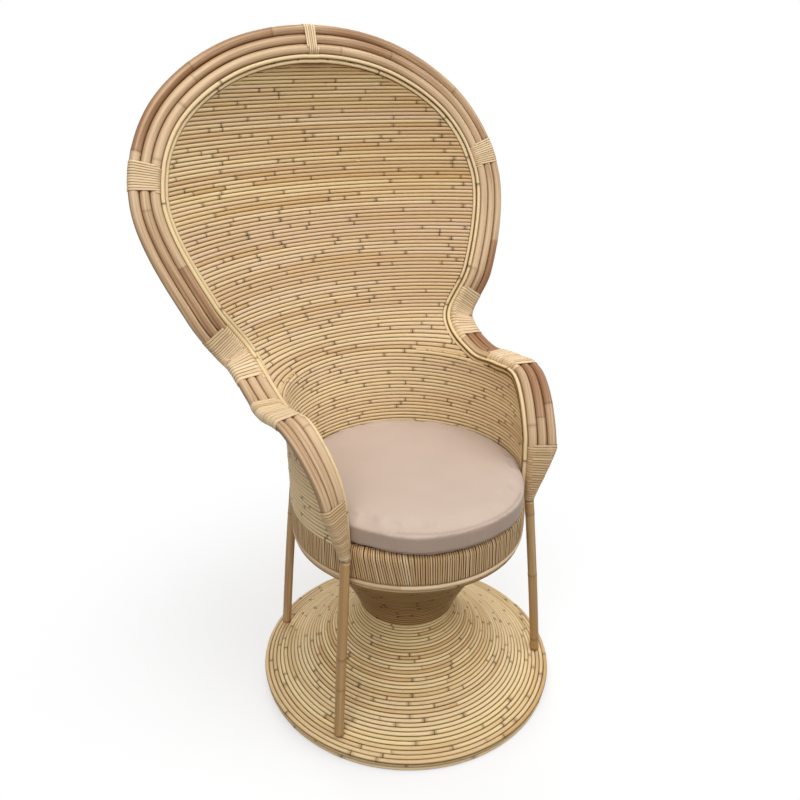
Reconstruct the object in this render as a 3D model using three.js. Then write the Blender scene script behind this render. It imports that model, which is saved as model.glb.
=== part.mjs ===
// Peacock chair: a reed-clad trumpet pedestal, a tub seat and a tall dished head inside a rim of three poles.
// Millimetres, +Z up, the sitter faces -Y. While it is drawn the pedestal's axis is the Z axis.
import * as THREE from "three";

// Seat and pedestal
const SEAT_RADIUS = 242; // middle of the reed wall at the seat
const DECK_HEIGHT = 454; // top of the seat deck and of the apron
const DECK_THICKNESS = 10;
const BEARER_DIAMETER = 18;
const BEARER_SPACING = 120;
const APRON_HEIGHT = 66;
const APRON_CORE_WIDTH = 18;
const APRON_WRAP_THICKNESS = 5;
const APRON_FLUTES = 54;
const APRON_FLUTE_DEPTH = 2;
const SEAT_HOOP_DIAMETER = 13;
const BASE_RADIUS = 324; // outside of the floor hoop
const FLOOR_HOOP_DIAMETER = 18;
const NECK_RADIUS = 101; // middle of the reeds at the neck
const NECK_HEIGHT = 173;
const NECK_HOOP_DIAMETER = 12;
const TRUMPET_POWER = 1.3; // 1 is a straight cone, 2 a quarter ellipse
const PEDESTAL_RIBS = 6;
const PEDESTAL_RIB_DIAMETER = 12;

// Rim: the inner edge of its poles on the right half, from the crown down to the front
const CROWN_HEIGHT = 1298;
const CROWN_BACK = 404; // how far behind the pedestal's axis
const HEAD_HALF_WIDTH = 376;
const HEAD_HEIGHT = 1030; // where the head is widest
const HEAD_BACK = 308;
const CHEEK_HALF_WIDTH = 316;
const CHEEK_HEIGHT = 838;
const CHEEK_BACK = 241;
const WAIST_HALF_WIDTH = 252;
const WAIST_HEIGHT = 733;
const WAIST_BACK = 224;
const ARM_HEIGHT = 680;
const ARM_OUTSIDE_WALL = 9; // inner edge of the arm from the middle of the seat's wall
const ARM_PINCH = 9; // the arm is narrower by this much at its ends
const ARM_REAR = 119;
const ARM_MIDDLE = 38;
const ARM_FRONT = -43;
const KNEE_ANGLE = 117.5; // round the seat from the rear, in degrees
const KNEE_HEIGHT = 584;
const KNEE_TUCK = 2; // the knee is nearer the seat than the foot by this much
const FOOT_ANGLE = 122;
const FOOT_DROP = 22; // the rim's end below the deck

// Dish of the back: how far its middle line lies behind the pedestal's axis
const DISH_BACK_AT_ARM = 280;
const DISH_LOW_HEIGHT = 821;
const DISH_LOW_BACK = 348;
const DISH_HEIGHT = 940;
const DISH_BACK = 403;
const DISH_HIGH_HEIGHT = 1080;
const DISH_HIGH_BACK = 445;
const DISH_CREST_HEIGHT = 1190;
const DISH_CREST_BACK = 443;

// Stock
const POLE_DIAMETER = 19.5;
const STRUT_DIAMETER = 20;
const EDGE_REED_DIAMETER = 6.4;
const REED_DIAMETER = 8;
const REED_PITCH = 24; // on the wall, where one ridge of the solid stands for three reeds
const BASE_REED_PITCH = 20; // on the pedestal, where one ridge stands for two or three reeds
const REED_GROOVE = 2; // depth of the groove between two ridges
const BACK_RIB_DIAMETER = 14;
const CANE_THICKNESS = 1.4;
const CANE_SHARE = 0.7; // width of the cane as a share of its pitch
const FIT = 0.3; // clearance between pieces that touch
const CANE_FIT = 1; // of a binding round its poles, which bend inside it
const WALL_END_FIT = 1.8; // of the reed wall's cut edge

// Struts
const STRUT_FOOT_INSET = 26; // from the edge of the base to the middle of a strut's foot
const REAR_STRUT_ANGLE = 44;

// Cushion
const CUSHION_GAP = 3; // to the reeds round it
const CUSHION_THICKNESS = 52;
const CUSHION_CROWN = 6;
const CUSHION_EDGE = 14; // radius of its soft edge
const CUSHION_DRAW = 2; // how far the band is drawn in between its edges

const RADIAN = Math.PI / 180;
const POLE_RADIUS = POLE_DIAMETER / 2;
const POLE_STEP = POLE_DIAMETER + FIT;
const WALL_HALF = REED_DIAMETER / 2;
const ROUND_SEGMENTS = 24;
const chair = new THREE.Group();

function finish(colour, roughness) {
  return new THREE.MeshStandardMaterial({ color: colour, roughness, metalness: 0 });
}
const REED_FINISH = ["#c9a873", 0.55];
const POLE_FINISH = ["#b98f66", 0.45];
const CANE_FINISH = ["#d8bd8d", 0.5];
const FRAME_FINISH = ["#a57f57", 0.6];
const CUSHION_FINISH = ["#b79c88", 0.6];

function add(name, geometry, look) {
  const mesh = new THREE.Mesh(geometry, finish(...look));
  mesh.name = name;
  chair.add(mesh);
  return mesh;
}

// Rings of points, all of one length, joined into one closed body with flat ends.
function loft(rings) {
  const sides = rings[0].length;
  const positions = rings.flat().flatMap((p) => [p.x, p.y, p.z]);
  const index = [];
  for (let i = 0; i + 1 < rings.length; i++) {
    for (let j = 0; j < sides; j++) {
      const a = i * sides + j;
      const b = i * sides + ((j + 1) % sides);
      index.push(a, b, b + sides, a, b + sides, a + sides);
    }
  }
  const last = (rings.length - 1) * sides;
  for (let j = 1; j + 1 < sides; j++) {
    index.push(0, j + 1, j);
    index.push(last, last + j, last + j + 1);
  }
  const geometry = new THREE.BufferGeometry();
  geometry.setAttribute("position", new THREE.Float32BufferAttribute(positions, 3));
  geometry.setIndex(index);
  geometry.computeVertexNormals();
  return geometry;
}

// A closed profile of [radius, height] pairs, counter-clockwise, turned round the Z axis.
function turned(profile) {
  const points = profile.map(([radius, height]) => new THREE.Vector2(radius, height));
  return new THREE.LatheGeometry(points, ROUND_SEGMENTS).rotateX(Math.PI / 2);
}

// A hoop of round stock with a flat underside.
function hoop(radius, diameter, bottom) {
  const sides = 6;
  const reach = diameter / 2 / Math.cos(Math.PI / sides);
  const profile = [];
  for (let j = 0; j <= sides; j++) {
    const angle = (j % sides) * ((2 * Math.PI) / sides);
    profile.push([radius + reach * Math.cos(angle), bottom + diameter / 2 + reach * Math.sin(angle)]);
  }
  return turned(profile);
}

function rod(name, from, to, diameter, look) {
  const axis = new THREE.Vector3().subVectors(to, from);
  const mesh = add(name, new THREE.CylinderGeometry(diameter / 2, diameter / 2, axis.length(), 10), look);
  mesh.position.addVectors(from, to).multiplyScalar(0.5);
  mesh.quaternion.setFromUnitVectors(new THREE.Vector3(0, 1, 0), axis.normalize());
}

// Point at an angle round the seat, measured from the rear.
function round(radius, degrees, height) {
  return new THREE.Vector3(radius * Math.sin(degrees * RADIAN), radius * Math.cos(degrees * RADIAN), height);
}

// Reed-clad pedestal. Its outline is a superellipse, upright at the neck and nearly level at the rim.
const hoopTop = FLOOR_HOOP_DIAMETER;
const seatHoopTop = DECK_HEIGHT - APRON_HEIGHT - FIT;
const seatHoopBottom = seatHoopTop - SEAT_HOOP_DIAMETER;
const apronRadius = SEAT_RADIUS + WALL_HALF - FIT;
const coreRadius = apronRadius - APRON_WRAP_THICKNESS;
const coreInside = coreRadius - APRON_CORE_WIDTH;
const base = { radius: BASE_RADIUS - WALL_HALF, height: hoopTop + FIT + WALL_HALF, outward: 1 };
const flare = { radius: SEAT_RADIUS - WALL_HALF, height: seatHoopBottom - FIT - WALL_HALF, outward: -1 };

function trumpetPoint(rim, share) {
  const angle = (share * Math.PI) / 2;
  const power = 2 / TRUMPET_POWER;
  const radius = rim.radius - (rim.radius - NECK_RADIUS) * Math.sin(angle) ** power;
  const height = NECK_HEIGHT + (rim.height - NECK_HEIGHT) * Math.cos(angle) ** power;
  return new THREE.Vector2(radius, height);
}

// The outline from the rim to the neck, in steps of one length, each with its outward normal.
function trumpet(rim, steps) {
  const fine = Array.from({ length: 241 }, (_, i) => trumpetPoint(rim, i / 240));
  const far = [0];
  fine.slice(1).forEach((p, i) => far.push(far[i] + p.distanceTo(fine[i])));
  return Array.from({ length: steps + 1 }, (_, i) => {
    const wanted = (far[240] * i) / steps;
    const k = Math.max(1, far.findIndex((length) => length >= wanted - 1e-9));
    const point = fine[k - 1].clone().lerp(fine[k], (wanted - far[k - 1]) / (far[k] - far[k - 1]));
    const along = fine[k].clone().sub(fine[k - 1]).normalize();
    return { point, normal: new THREE.Vector2(along.y, -along.x).multiplyScalar(rim.outward) };
  });
}

function trumpetLength(rim) {
  const line = trumpet(rim, 60);
  return line.slice(1).reduce((sum, s, i) => sum + s.point.distanceTo(line[i].point), 0);
}

function offset(station, distance) {
  return [station.point.x + station.normal.x * distance, station.point.y + station.normal.y * distance];
}

function skinLine(rim) {
  const ridges = Math.round(trumpetLength(rim) / BASE_REED_PITCH);
  const line = trumpet(rim, 2 * ridges);
  line[0].normal.set(0, rim.outward);
  line[2 * ridges].normal.set(1, 0);
  return line;
}

// Every third ridge of the outline, for the plain inside and for the ribs that lie against it.
function plainLine(rim) {
  const line = skinLine(rim);
  return line.filter((_, i) => i % 6 === 0 || i === line.length - 1);
}

// A skin of reeds: ridges outside, plain inside, with both ends cut square to the outline.
function outsideLine(rim) {
  return skinLine(rim).map((s, i) => offset(s, WALL_HALF - (i % 2 ? 0 : REED_GROOVE)));
}

function reedSkin(rim) {
  const outside = outsideLine(rim);
  const inside = plainLine(rim).map((s) => offset(s, -WALL_HALF));
  inside.reverse();
  const profile = [...outside, ...inside, outside[0]];
  if (rim.outward < 0) profile.reverse();
  return turned(profile);
}
// The two skins meet at the neck, half a clearance each side of it.
add("base_reed_skin", reedSkin(base).translate(0, 0, -FIT / 2), REED_FINISH);
add("flare_reed_skin", reedSkin(flare).translate(0, 0, FIT / 2), REED_FINISH);

add("floor_hoop", hoop(BASE_RADIUS - FLOOR_HOOP_DIAMETER * 0.6, FLOOR_HOOP_DIAMETER, 0), FRAME_FINISH);
const seatHoopRadius = apronRadius - SEAT_HOOP_DIAMETER / 2;
add("seat_hoop", hoop(seatHoopRadius, SEAT_HOOP_DIAMETER, seatHoopBottom), CANE_FINISH);

// Ribs bent to the inside of the skin, from the floor hoop to the seat hoop, and the hoop inside the neck.
const ribDepth = WALL_HALF + FIT + PEDESTAL_RIB_DIAMETER / 2;
const ribStations = [...plainLine(base), ...plainLine(flare).slice(1, -1).reverse()];
const ribLine = ribStations.map((s) => offset(s, -ribDepth));
const ribReach = BASE_RADIUS - FLOOR_HOOP_DIAMETER * 1.2 - FIT;
for (let i = 0; i < PEDESTAL_RIBS; i++) {
  const turn = (360 / PEDESTAL_RIBS) * (i + 0.5);
  const path = ribLine.filter(([radius]) => radius < ribReach).map(([radius, z]) => round(radius, turn, z));
  const side = round(1, turn + 90, 0);
  add("pedestal_rib_" + (i + 1), loft(tubeRings(path, side, PEDESTAL_RIB_DIAMETER / 2, 6)), FRAME_FINISH);
}
const neckHoopRadius = NECK_RADIUS - WALL_HALF - PEDESTAL_RIB_DIAMETER - NECK_HOOP_DIAMETER * 0.6 - 2 * FIT;
add("neck_hoop", hoop(neckHoopRadius, NECK_HOOP_DIAMETER, NECK_HEIGHT - NECK_HOOP_DIAMETER / 2), FRAME_FINISH);

// Rings round a path that lies in one plane, whose normal is side.
function tubeRings(path, side, radius, sides) {
  return path.map((p, i) => {
    const before = path[Math.max(0, i - 1)];
    const after = path[Math.min(path.length - 1, i + 1)];
    const along = new THREE.Vector3().subVectors(after, before).normalize();
    const out = new THREE.Vector3().crossVectors(along, side).normalize();
    return ringAt(p, side, out, radius, sides, 0.5);
  });
}

// A ring of corners, the first of which lies across, or half a side from it where phase is a half.
function ringAt(centre, across, up, radius, sides, phase = 0) {
  return Array.from({ length: sides }, (_, j) => {
    const angle = ((j + phase) * 2 * Math.PI) / sides;
    return centre
      .clone()
      .addScaledVector(across, radius * Math.cos(angle))
      .addScaledVector(up, radius * Math.sin(angle));
  });
}

// Apron: a core ring wound with upright cane, closed above by the deck on its bearers.
const apronBottom = DECK_HEIGHT - APRON_HEIGHT;
add(
  "apron_core",
  turned([
    [coreInside, apronBottom],
    [coreRadius, apronBottom],
    [coreRadius, DECK_HEIGHT],
    [coreInside, DECK_HEIGHT],
    [coreInside, apronBottom],
  ]),
  FRAME_FINISH,
);

function apronWrap() {
  const band = new THREE.Shape();
  for (let j = 0; j < 2 * APRON_FLUTES; j++) {
    const angle = (j * Math.PI) / APRON_FLUTES;
    const radius = apronRadius - (j % 2 ? APRON_FLUTE_DEPTH : 0);
    band[j ? "lineTo" : "moveTo"](radius * Math.cos(angle), radius * Math.sin(angle));
  }
  band.closePath();
  const inside = new THREE.Path();
  inside.absarc(0, 0, coreRadius + FIT, 0, 2 * Math.PI, true);
  band.holes.push(inside);
  const settings = { depth: APRON_HEIGHT, bevelEnabled: false, curveSegments: APRON_FLUTES };
  return new THREE.ExtrudeGeometry(band, settings).translate(0, 0, apronBottom);
}
add("apron_wrap", apronWrap(), CANE_FINISH);

const deckRadius = (coreInside - FIT) * Math.cos(Math.PI / ROUND_SEGMENTS);
add(
  "seat_deck",
  turned([
    [0, DECK_HEIGHT - DECK_THICKNESS],
    [deckRadius, DECK_HEIGHT - DECK_THICKNESS],
    [deckRadius, DECK_HEIGHT],
    [0, DECK_HEIGHT],
  ]),
  FRAME_FINISH,
);
const bearerHeight = DECK_HEIGHT - DECK_THICKNESS - FIT - BEARER_DIAMETER / 2;
for (let i = 0; i < 3; i++) {
  const y = (i - 1) * BEARER_SPACING;
  const edge = Math.abs(y) + BEARER_DIAMETER / 2;
  const reach = Math.sqrt(deckRadius ** 2 - edge ** 2);
  const ends = [-reach, reach].map((x) => new THREE.Vector3(x, y, bearerHeight));
  rod("seat_bearer_" + (i + 1), ends[0], ends[1], BEARER_DIAMETER, FRAME_FINISH);
}

// Middle line of the dish, from the deck to the crown, as [height, distance behind the axis].
const dishLine = new THREE.CatmullRomCurve3(
  [
    [DECK_HEIGHT, SEAT_RADIUS],
    [(DECK_HEIGHT + ARM_HEIGHT) / 2, SEAT_RADIUS + (DISH_BACK_AT_ARM - SEAT_RADIUS) / 4],
    [ARM_HEIGHT, DISH_BACK_AT_ARM],
    [DISH_LOW_HEIGHT, DISH_LOW_BACK],
    [DISH_HEIGHT, DISH_BACK],
    [DISH_HIGH_HEIGHT, DISH_HIGH_BACK],
    [DISH_CREST_HEIGHT, DISH_CREST_BACK],
    [CROWN_HEIGHT, CROWN_BACK],
  ].map(([z, y]) => new THREE.Vector3(0, y, z)),
).getPoints(160);

function dish(z) {
  const k = dishLine.findIndex((p) => p.z >= z);
  if (k < 1) return { back: dishLine[k < 0 ? 160 : 0].y, lean: 0 };
  const [low, high] = [dishLine[k - 1], dishLine[k]];
  const lean = (high.y - low.y) / (high.z - low.z);
  return { back: low.y + lean * (z - low.z), lean };
}

// Rim stations on the right half. The head's upper half is half an ellipse in a leaning plane.
const armEdge = SEAT_RADIUS + ARM_OUTSIDE_WALL;
const rimOutsideWall = WALL_HALF + FIT + CANE_THICKNESS + EDGE_REED_DIAMETER / 2;
const rightRim = [
  ...[0, 30, 60, 90].map((degrees) => {
    const rise = Math.cos(degrees * RADIAN);
    return new THREE.Vector3(
      HEAD_HALF_WIDTH * Math.sin(degrees * RADIAN),
      HEAD_BACK + (CROWN_BACK - HEAD_BACK) * rise,
      HEAD_HEIGHT + (CROWN_HEIGHT - HEAD_HEIGHT) * rise,
    );
  }),
  new THREE.Vector3(CHEEK_HALF_WIDTH, CHEEK_BACK, CHEEK_HEIGHT),
  new THREE.Vector3(WAIST_HALF_WIDTH, WAIST_BACK, WAIST_HEIGHT),
  new THREE.Vector3(armEdge - ARM_PINCH, ARM_REAR, ARM_HEIGHT),
  new THREE.Vector3(armEdge, ARM_MIDDLE, ARM_HEIGHT),
  new THREE.Vector3(armEdge - ARM_PINCH, ARM_FRONT, ARM_HEIGHT),
  round(SEAT_RADIUS + rimOutsideWall - KNEE_TUCK, KNEE_ANGLE, KNEE_HEIGHT),
  round(SEAT_RADIUS + rimOutsideWall, FOOT_ANGLE, DECK_HEIGHT - FOOT_DROP),
];
const STATIONS = rightRim.length - 1;
const ARM_REAR_STATION = 6;
const ARM_MIDDLE_STATION = 7;
const ARM_FRONT_STATION = 8;
const mirrored = (p) => new THREE.Vector3(-p.x, p.y, p.z);
const rimCurve = new THREE.CatmullRomCurve3([...rightRim.slice(1).reverse().map(mirrored), ...rightRim]);

// Frame of the rim at a station number: its inner edge, the way along it, the way outward across the poles,
// the face of the flange, and the way inward over the reed wall.
function rimFrameExact(station) {
  const share = 0.5 + station / (2 * STATIONS);
  const edge = rimCurve.getPoint(share);
  const along = rimCurve.getTangent(share);
  const above = Math.max(0, edge.z - HEAD_HEIGHT);
  const across = new THREE.Vector3(edge.x, above ? edge.y - HEAD_BACK : Math.min(edge.y, 0), above);
  across.addScaledVector(along, -across.dot(along)).normalize();
  const face = new THREE.Vector3().crossVectors(along, across);
  const { back, lean } = dish(edge.z);
  const wrap = 2 * Math.atan2(back - edge.y, Math.max(edge.x, 1e-6));
  const outward = new THREE.Vector3(Math.sin(wrap), Math.cos(wrap), -lean * Math.cos(wrap)).normalize();
  const inward = new THREE.Vector3().crossVectors(outward, along).normalize();
  return { edge, across, face, inward };
}

const RIM_STEPS = 3; // straight steps from one station to the next
const rimTable = Array.from({ length: STATIONS * RIM_STEPS + 1 }, (_, i) => rimFrameExact(i / RIM_STEPS));

// The same frame at any station, between the straight steps that the poles are made of. Left is negative.
function rimFrame(station) {
  const place = Math.min(Math.abs(station) * RIM_STEPS, rimTable.length - 1.0001);
  const k = Math.floor(place);
  const frame = {};
  for (const key of ["edge", "across", "face", "inward"]) {
    frame[key] = rimTable[k][key].clone().lerp(rimTable[k + 1][key], place - k);
    if (station < 0) frame[key].x *= -1;
  }
  return frame;
}

function poleCentre(frame, pole) {
  return frame.edge.clone().addScaledVector(frame.across, POLE_RADIUS + pole * POLE_STEP);
}

function stationsBetween(from, to) {
  const stations = [from];
  const next = Math.floor(from * RIM_STEPS + 1) / RIM_STEPS;
  for (let s = next; s < to - 1e-6; s += 1 / RIM_STEPS) stations.push(s);
  stations.push(to);
  return stations;
}

function tubeOnRim(from, to, centreOf, radius, sides) {
  const rings = stationsBetween(from, to).map((station) => {
    const frame = rimFrame(station);
    return ringAt(centreOf(frame), frame.across, frame.face, radius, sides);
  });
  return loft(rings);
}

// Stations where the arm poles are spliced to the head poles, and where each arm pole ends in the front cone
const SPLICE_STATION = 5;
const CONE_TOP_STATION = 9.2;
const OUTER_POLE_END_STATION = 9.22;
const MIDDLE_POLE_END_STATION = 9.56;
const poleEnds = [STATIONS, MIDDLE_POLE_END_STATION, OUTER_POLE_END_STATION];
const spliceGap = FIT / rimFrame(SPLICE_STATION + 0.1).edge.distanceTo(rimFrame(SPLICE_STATION).edge) / 10;
const spliceStation = SPLICE_STATION + spliceGap / 2;
["inner", "middle", "outer"].forEach((place, pole) => {
  const centreOf = (frame) => poleCentre(frame, pole);
  const head = tubeOnRim(-SPLICE_STATION, SPLICE_STATION, centreOf, POLE_RADIUS, 6);
  add("head_pole_" + place, head, POLE_FINISH);
  const left = tubeOnRim(-poleEnds[pole], -spliceStation - spliceGap, centreOf, POLE_RADIUS, 6);
  add("arm_pole_left_" + place, left, POLE_FINISH);
  const right = tubeOnRim(spliceStation + spliceGap, poleEnds[pole], centreOf, POLE_RADIUS, 6);
  add("arm_pole_right_" + place, right, POLE_FINISH);
});

// Two edge reeds inside the rim, which leave room for the bindings, and the line where the reed wall ends.
const caneCorner = Math.cos(Math.PI / 6); // half of a bend of the cane round a pole
const caneReach = (POLE_RADIUS + CANE_FIT) / caneCorner + CANE_THICKNESS;
const bindingRoom = caneReach - POLE_RADIUS + FIT;
const edgeReedRadius = EDGE_REED_DIAMETER / 2;

function edgeReedCentre(frame, row) {
  return frame.edge
    .clone()
    .addScaledVector(frame.across, -bindingRoom - edgeReedRadius)
    .addScaledVector(frame.inward, row * (EDGE_REED_DIAMETER + FIT));
}

// The station between two others, of which the first is the higher one, where a line on the rim has a height.
function stationAt(z, high, low, lineAt) {
  let [from, to] = [high, low];
  for (let i = 0; i < 40; i++) {
    const middle = (from + to) / 2;
    if (lineAt(middle).z > z) from = middle;
    else to = middle;
  }
  return (from + to) / 2;
}
const edgeReedBottom = DECK_HEIGHT + EDGE_REED_DIAMETER / 4;
const edgeReedEnd = stationAt(edgeReedBottom, ARM_FRONT_STATION, STATIONS, (s) => rimFrame(s).edge);
["outer", "inner"].forEach((place, row) => {
  const reed = tubeOnRim(-edgeReedEnd, edgeReedEnd, (frame) => edgeReedCentre(frame, row), edgeReedRadius, 4);
  add("edge_reed_" + place, reed, CANE_FINISH);
});

function wallEdge(station) {
  const frame = rimFrame(station);
  return edgeReedCentre(frame, 1).addScaledVector(frame.inward, edgeReedRadius + WALL_END_FIT);
}

function wallEdgeAt(z, high, low) {
  return wallEdge(stationAt(z, high, low, wallEdge));
}

// One level course of reeds: an arc through the dish's middle line and the wall's edge on both sides.
// The tub's arc is an ellipse that is as wide as the arms, the back's arc is a circle.
const armStations = stationsBetween(ARM_REAR_STATION, ARM_FRONT_STATION);
const tubTop = Math.min(...armStations.map((station) => wallEdge(station).z));
const tubTopHalfWidth = wallEdge(ARM_MIDDLE_STATION).x;

function tubCourse(z) {
  const { back, lean } = dish(z);
  const edge = wallEdgeAt(z, ARM_FRONT_STATION, STATIONS);
  const share = (z - DECK_HEIGHT) / (tubTop - DECK_HEIGHT);
  const half = Math.max(SEAT_RADIUS + (tubTopHalfWidth - SEAT_RADIUS) * share, edge.x + FIT);
  const sink = Math.sqrt(1 - (edge.x / half) ** 2);
  const centre = (edge.y + sink * back) / (1 + sink);
  return { z, lean, back, half, depth: back - centre, wrap: Math.PI - Math.asin(edge.x / half) };
}

function backEdge(z) {
  return wallEdgeAt(z, 0, ARM_REAR_STATION);
}

function backCourse(z) {
  const { back, lean } = dish(z);
  const edge = backEdge(z);
  const wrap = Math.max(2 * Math.atan2(back - edge.y, edge.x), 0.02);
  const radius = edge.x / Math.sin(wrap);
  return { z, lean, back, half: radius, depth: radius, wrap };
}

function coursePoint(course, share, offsetOut) {
  const angle = share * course.wrap;
  const out = new THREE.Vector3(Math.sin(angle), Math.cos(angle), -course.lean * Math.cos(angle)).normalize();
  const y = course.back - course.depth * (1 - Math.cos(angle));
  return new THREE.Vector3(course.half * Math.sin(angle), y, course.z).addScaledVector(out, offsetOut);
}

// A band of the reed wall between two heights: ridges and grooves on both faces, with square ends.
function reedBand(bottom, top, courseAt, columns) {
  const rows = 2 * Math.max(2, Math.round((top - bottom) / REED_PITCH));
  const rings = [];
  for (let j = 0; j <= columns; j++) {
    const share = 1 - (2 * j) / columns;
    const inside = [];
    const outside = [];
    for (let i = 0; i <= rows; i++) {
      const course = courseAt(bottom + ((top - bottom) * i) / rows);
      const half = WALL_HALF - (i % 2 ? 0 : REED_GROOVE);
      inside.push(coursePoint(course, share, -half));
      outside.push(coursePoint(course, share, half));
    }
    rings.push([...inside, ...outside.reverse()]);
  }
  return wallLoft(rings);
}

// Like loft, but the two end rings are strips between their halves, because a ridged end isn't convex.
function wallLoft(rings) {
  const geometry = loft(rings);
  const sides = rings[0].length;
  const index = [...geometry.index.array].slice(0, (rings.length - 1) * sides * 6);
  const last = (rings.length - 1) * sides;
  for (let i = 0; i + 1 < sides / 2; i++) {
    const [a, b, c, d] = [i, i + 1, sides - 2 - i, sides - 1 - i];
    index.push(a, c, b, a, d, c);
    index.push(last + a, last + b, last + c, last + a, last + c, last + d);
  }
  geometry.setIndex(index);
  geometry.computeVertexNormals();
  return geometry;
}

const TUB_COLUMNS = 24;
const BACK_COLUMNS = 14;
add("reed_wall_tub", reedBand(DECK_HEIGHT + FIT, tubTop, tubCourse, TUB_COLUMNS), REED_FINISH);
const backBottom = tubTop + FIT;
const backTop = wallEdge(0).z - REED_DIAMETER;
const backBands = ["waist", "back_low", "back_middle", "back_high"];
backBands.forEach((place, i) => {
  const bottom = backBottom + ((backTop - backBottom) * i) / backBands.length;
  const top = backBottom + ((backTop - backBottom) * (i + 1)) / backBands.length - FIT;
  add("reed_wall_" + place, reedBand(bottom, top, backCourse, BACK_COLUMNS), REED_FINISH);
});

// Ribs behind the wall, each at a fixed share of the back's half width.
const BACK_RIBS = [-0.75, -0.25, 0.25, 0.75];
const BACK_RIB_STEPS = 16;
const BACK_RIB_SHORTER = 0.8; // how much of the head's arch the outer ribs stay under
const backRibRadius = BACK_RIB_DIAMETER / 2;
const backRibOffset = WALL_HALF + 2 * FIT + backRibRadius;
BACK_RIBS.forEach((share, i) => {
  const bottom = DECK_HEIGHT + BACK_RIB_DIAMETER;
  const top = backTop - share ** 2 * (backTop - HEAD_HEIGHT) * BACK_RIB_SHORTER - BACK_RIB_DIAMETER;
  const path = [];
  for (let step = 0; step <= BACK_RIB_STEPS; step++) {
    const z = bottom + ((top - bottom) * step) / BACK_RIB_STEPS;
    const course = z < backBottom ? tubCourse(z) : backCourse(z);
    const aside = share * backEdge(Math.max(z, backBottom)).x;
    path.push(coursePoint(course, Math.asin(aside / course.half) / course.wrap, backRibOffset));
  }
  const [sideways, backward] = [new THREE.Vector3(1, 0, 0), new THREE.Vector3(0, 1, 0)];
  const rings = path.map((p) => ringAt(p, sideways, backward, backRibRadius, 6, 0.5));
  add("back_rib_" + (i + 1), loft(rings), FRAME_FINISH);
});

// Cane bindings: one flat strip that winds round the poles. Each has its stations, turns and outermost pole.
const CANE_STEPS = 8; // four corners round each outer pole
const CANE_START = POLE_DIAMETER * 0.6; // straight run at each end of the strip
let leastCaneGap = Infinity;

function binding(from, to, turns, outerPoleAt) {
  const rings = [];
  const halfTurn = Math.abs(to - from) / turns / 2;
  const radius = caneReach - CANE_THICKNESS / 2;
  const pointAt = (station, sideways, up) => {
    const frame = rimFrame(station);
    return frame.edge.addScaledVector(frame.across, sideways).addScaledVector(frame.face, up);
  };
  const push = (station, sideways, up, outSideways, outUp) => {
    const frame = rimFrame(station);
    const pitch = pointAt(station + halfTurn, sideways, up).sub(pointAt(station - halfTurn, sideways, up));
    const out = frame.across.multiplyScalar(outSideways).addScaledVector(frame.face, outUp);
    const centre = pointAt(station, sideways, up);
    const corner = (thick, wide) => {
      const surface = centre.clone().addScaledVector(out, (thick * CANE_THICKNESS) / 2);
      return surface.addScaledVector(pitch, (wide * CANE_SHARE) / 2);
    };
    rings.push([corner(-1, 1), corner(1, 1), corner(1, -1), corner(-1, -1)]);
  };
  const steps = turns * CANE_STEPS;
  const outermost = (station) => POLE_RADIUS + outerPoleAt(station) * POLE_STEP;
  push(from, POLE_RADIUS + CANE_START, radius, 0, 1);
  for (let i = 0; i < steps; i++) {
    const station = from + ((to - from) * i) / (steps - 1);
    const corner = i % CANE_STEPS;
    const nearRim = corner < CANE_STEPS / 2;
    const angle = (90 + 60 * (nearRim ? corner : corner - 1)) * RADIAN;
    const pivot = nearRim ? POLE_RADIUS : outermost(station);
    const [outSideways, outUp] = [Math.cos(angle), Math.sin(angle)];
    push(station, pivot + radius * outSideways, radius * outUp, outSideways, outUp);
  }
  push(to, outermost(to) - CANE_START, radius, 0, 1);
  for (let i = 0; i + CANE_STEPS < rings.length; i++) {
    for (const p of rings[i]) {
      for (const q of rings[i + CANE_STEPS]) leastCaneGap = Math.min(leastCaneGap, p.distanceTo(q));
    }
  }
  return loft(rings);
}

const OUTER_POLE = 2;
const TAPER_FROM_STATION = 9.26;
const TAPER_TO_STATION = 9.94;
const flat = () => OUTER_POLE;
const taper = (station) => (TAPER_TO_STATION - station) / (TAPER_TO_STATION - TAPER_FROM_STATION);
const cone = (station) => OUTER_POLE * Math.min(1, Math.max(0, taper(station)));
const CROWN_BINDING_STATION = 0.06;
add("binding_crown", binding(-CROWN_BINDING_STATION, CROWN_BINDING_STATION, 3, flat), CANE_FINISH);
const BINDINGS = [
  { name: "upper", from: 2.54, to: 2.85, turns: 5, outer: flat },
  { name: "waist", from: 4.35, to: 5.6, turns: 12, outer: flat },
  { name: "arm", from: 6.55, to: 7.8, turns: 7, outer: flat },
  { name: "front", from: CONE_TOP_STATION, to: 9.97, turns: 10, outer: cone },
];
for (const { name, from, to, turns, outer } of BINDINGS) {
  add("binding_" + name + "_right", binding(from, to, turns, outer), CANE_FINISH);
  const mirror = (station) => outer(-station);
  add("binding_" + name + "_left", binding(-from, -to, turns, mirror), CANE_FINISH);
}
console.log("least gap of a binding to itself, mm: " + leastCaneGap.toFixed(2));

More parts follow.
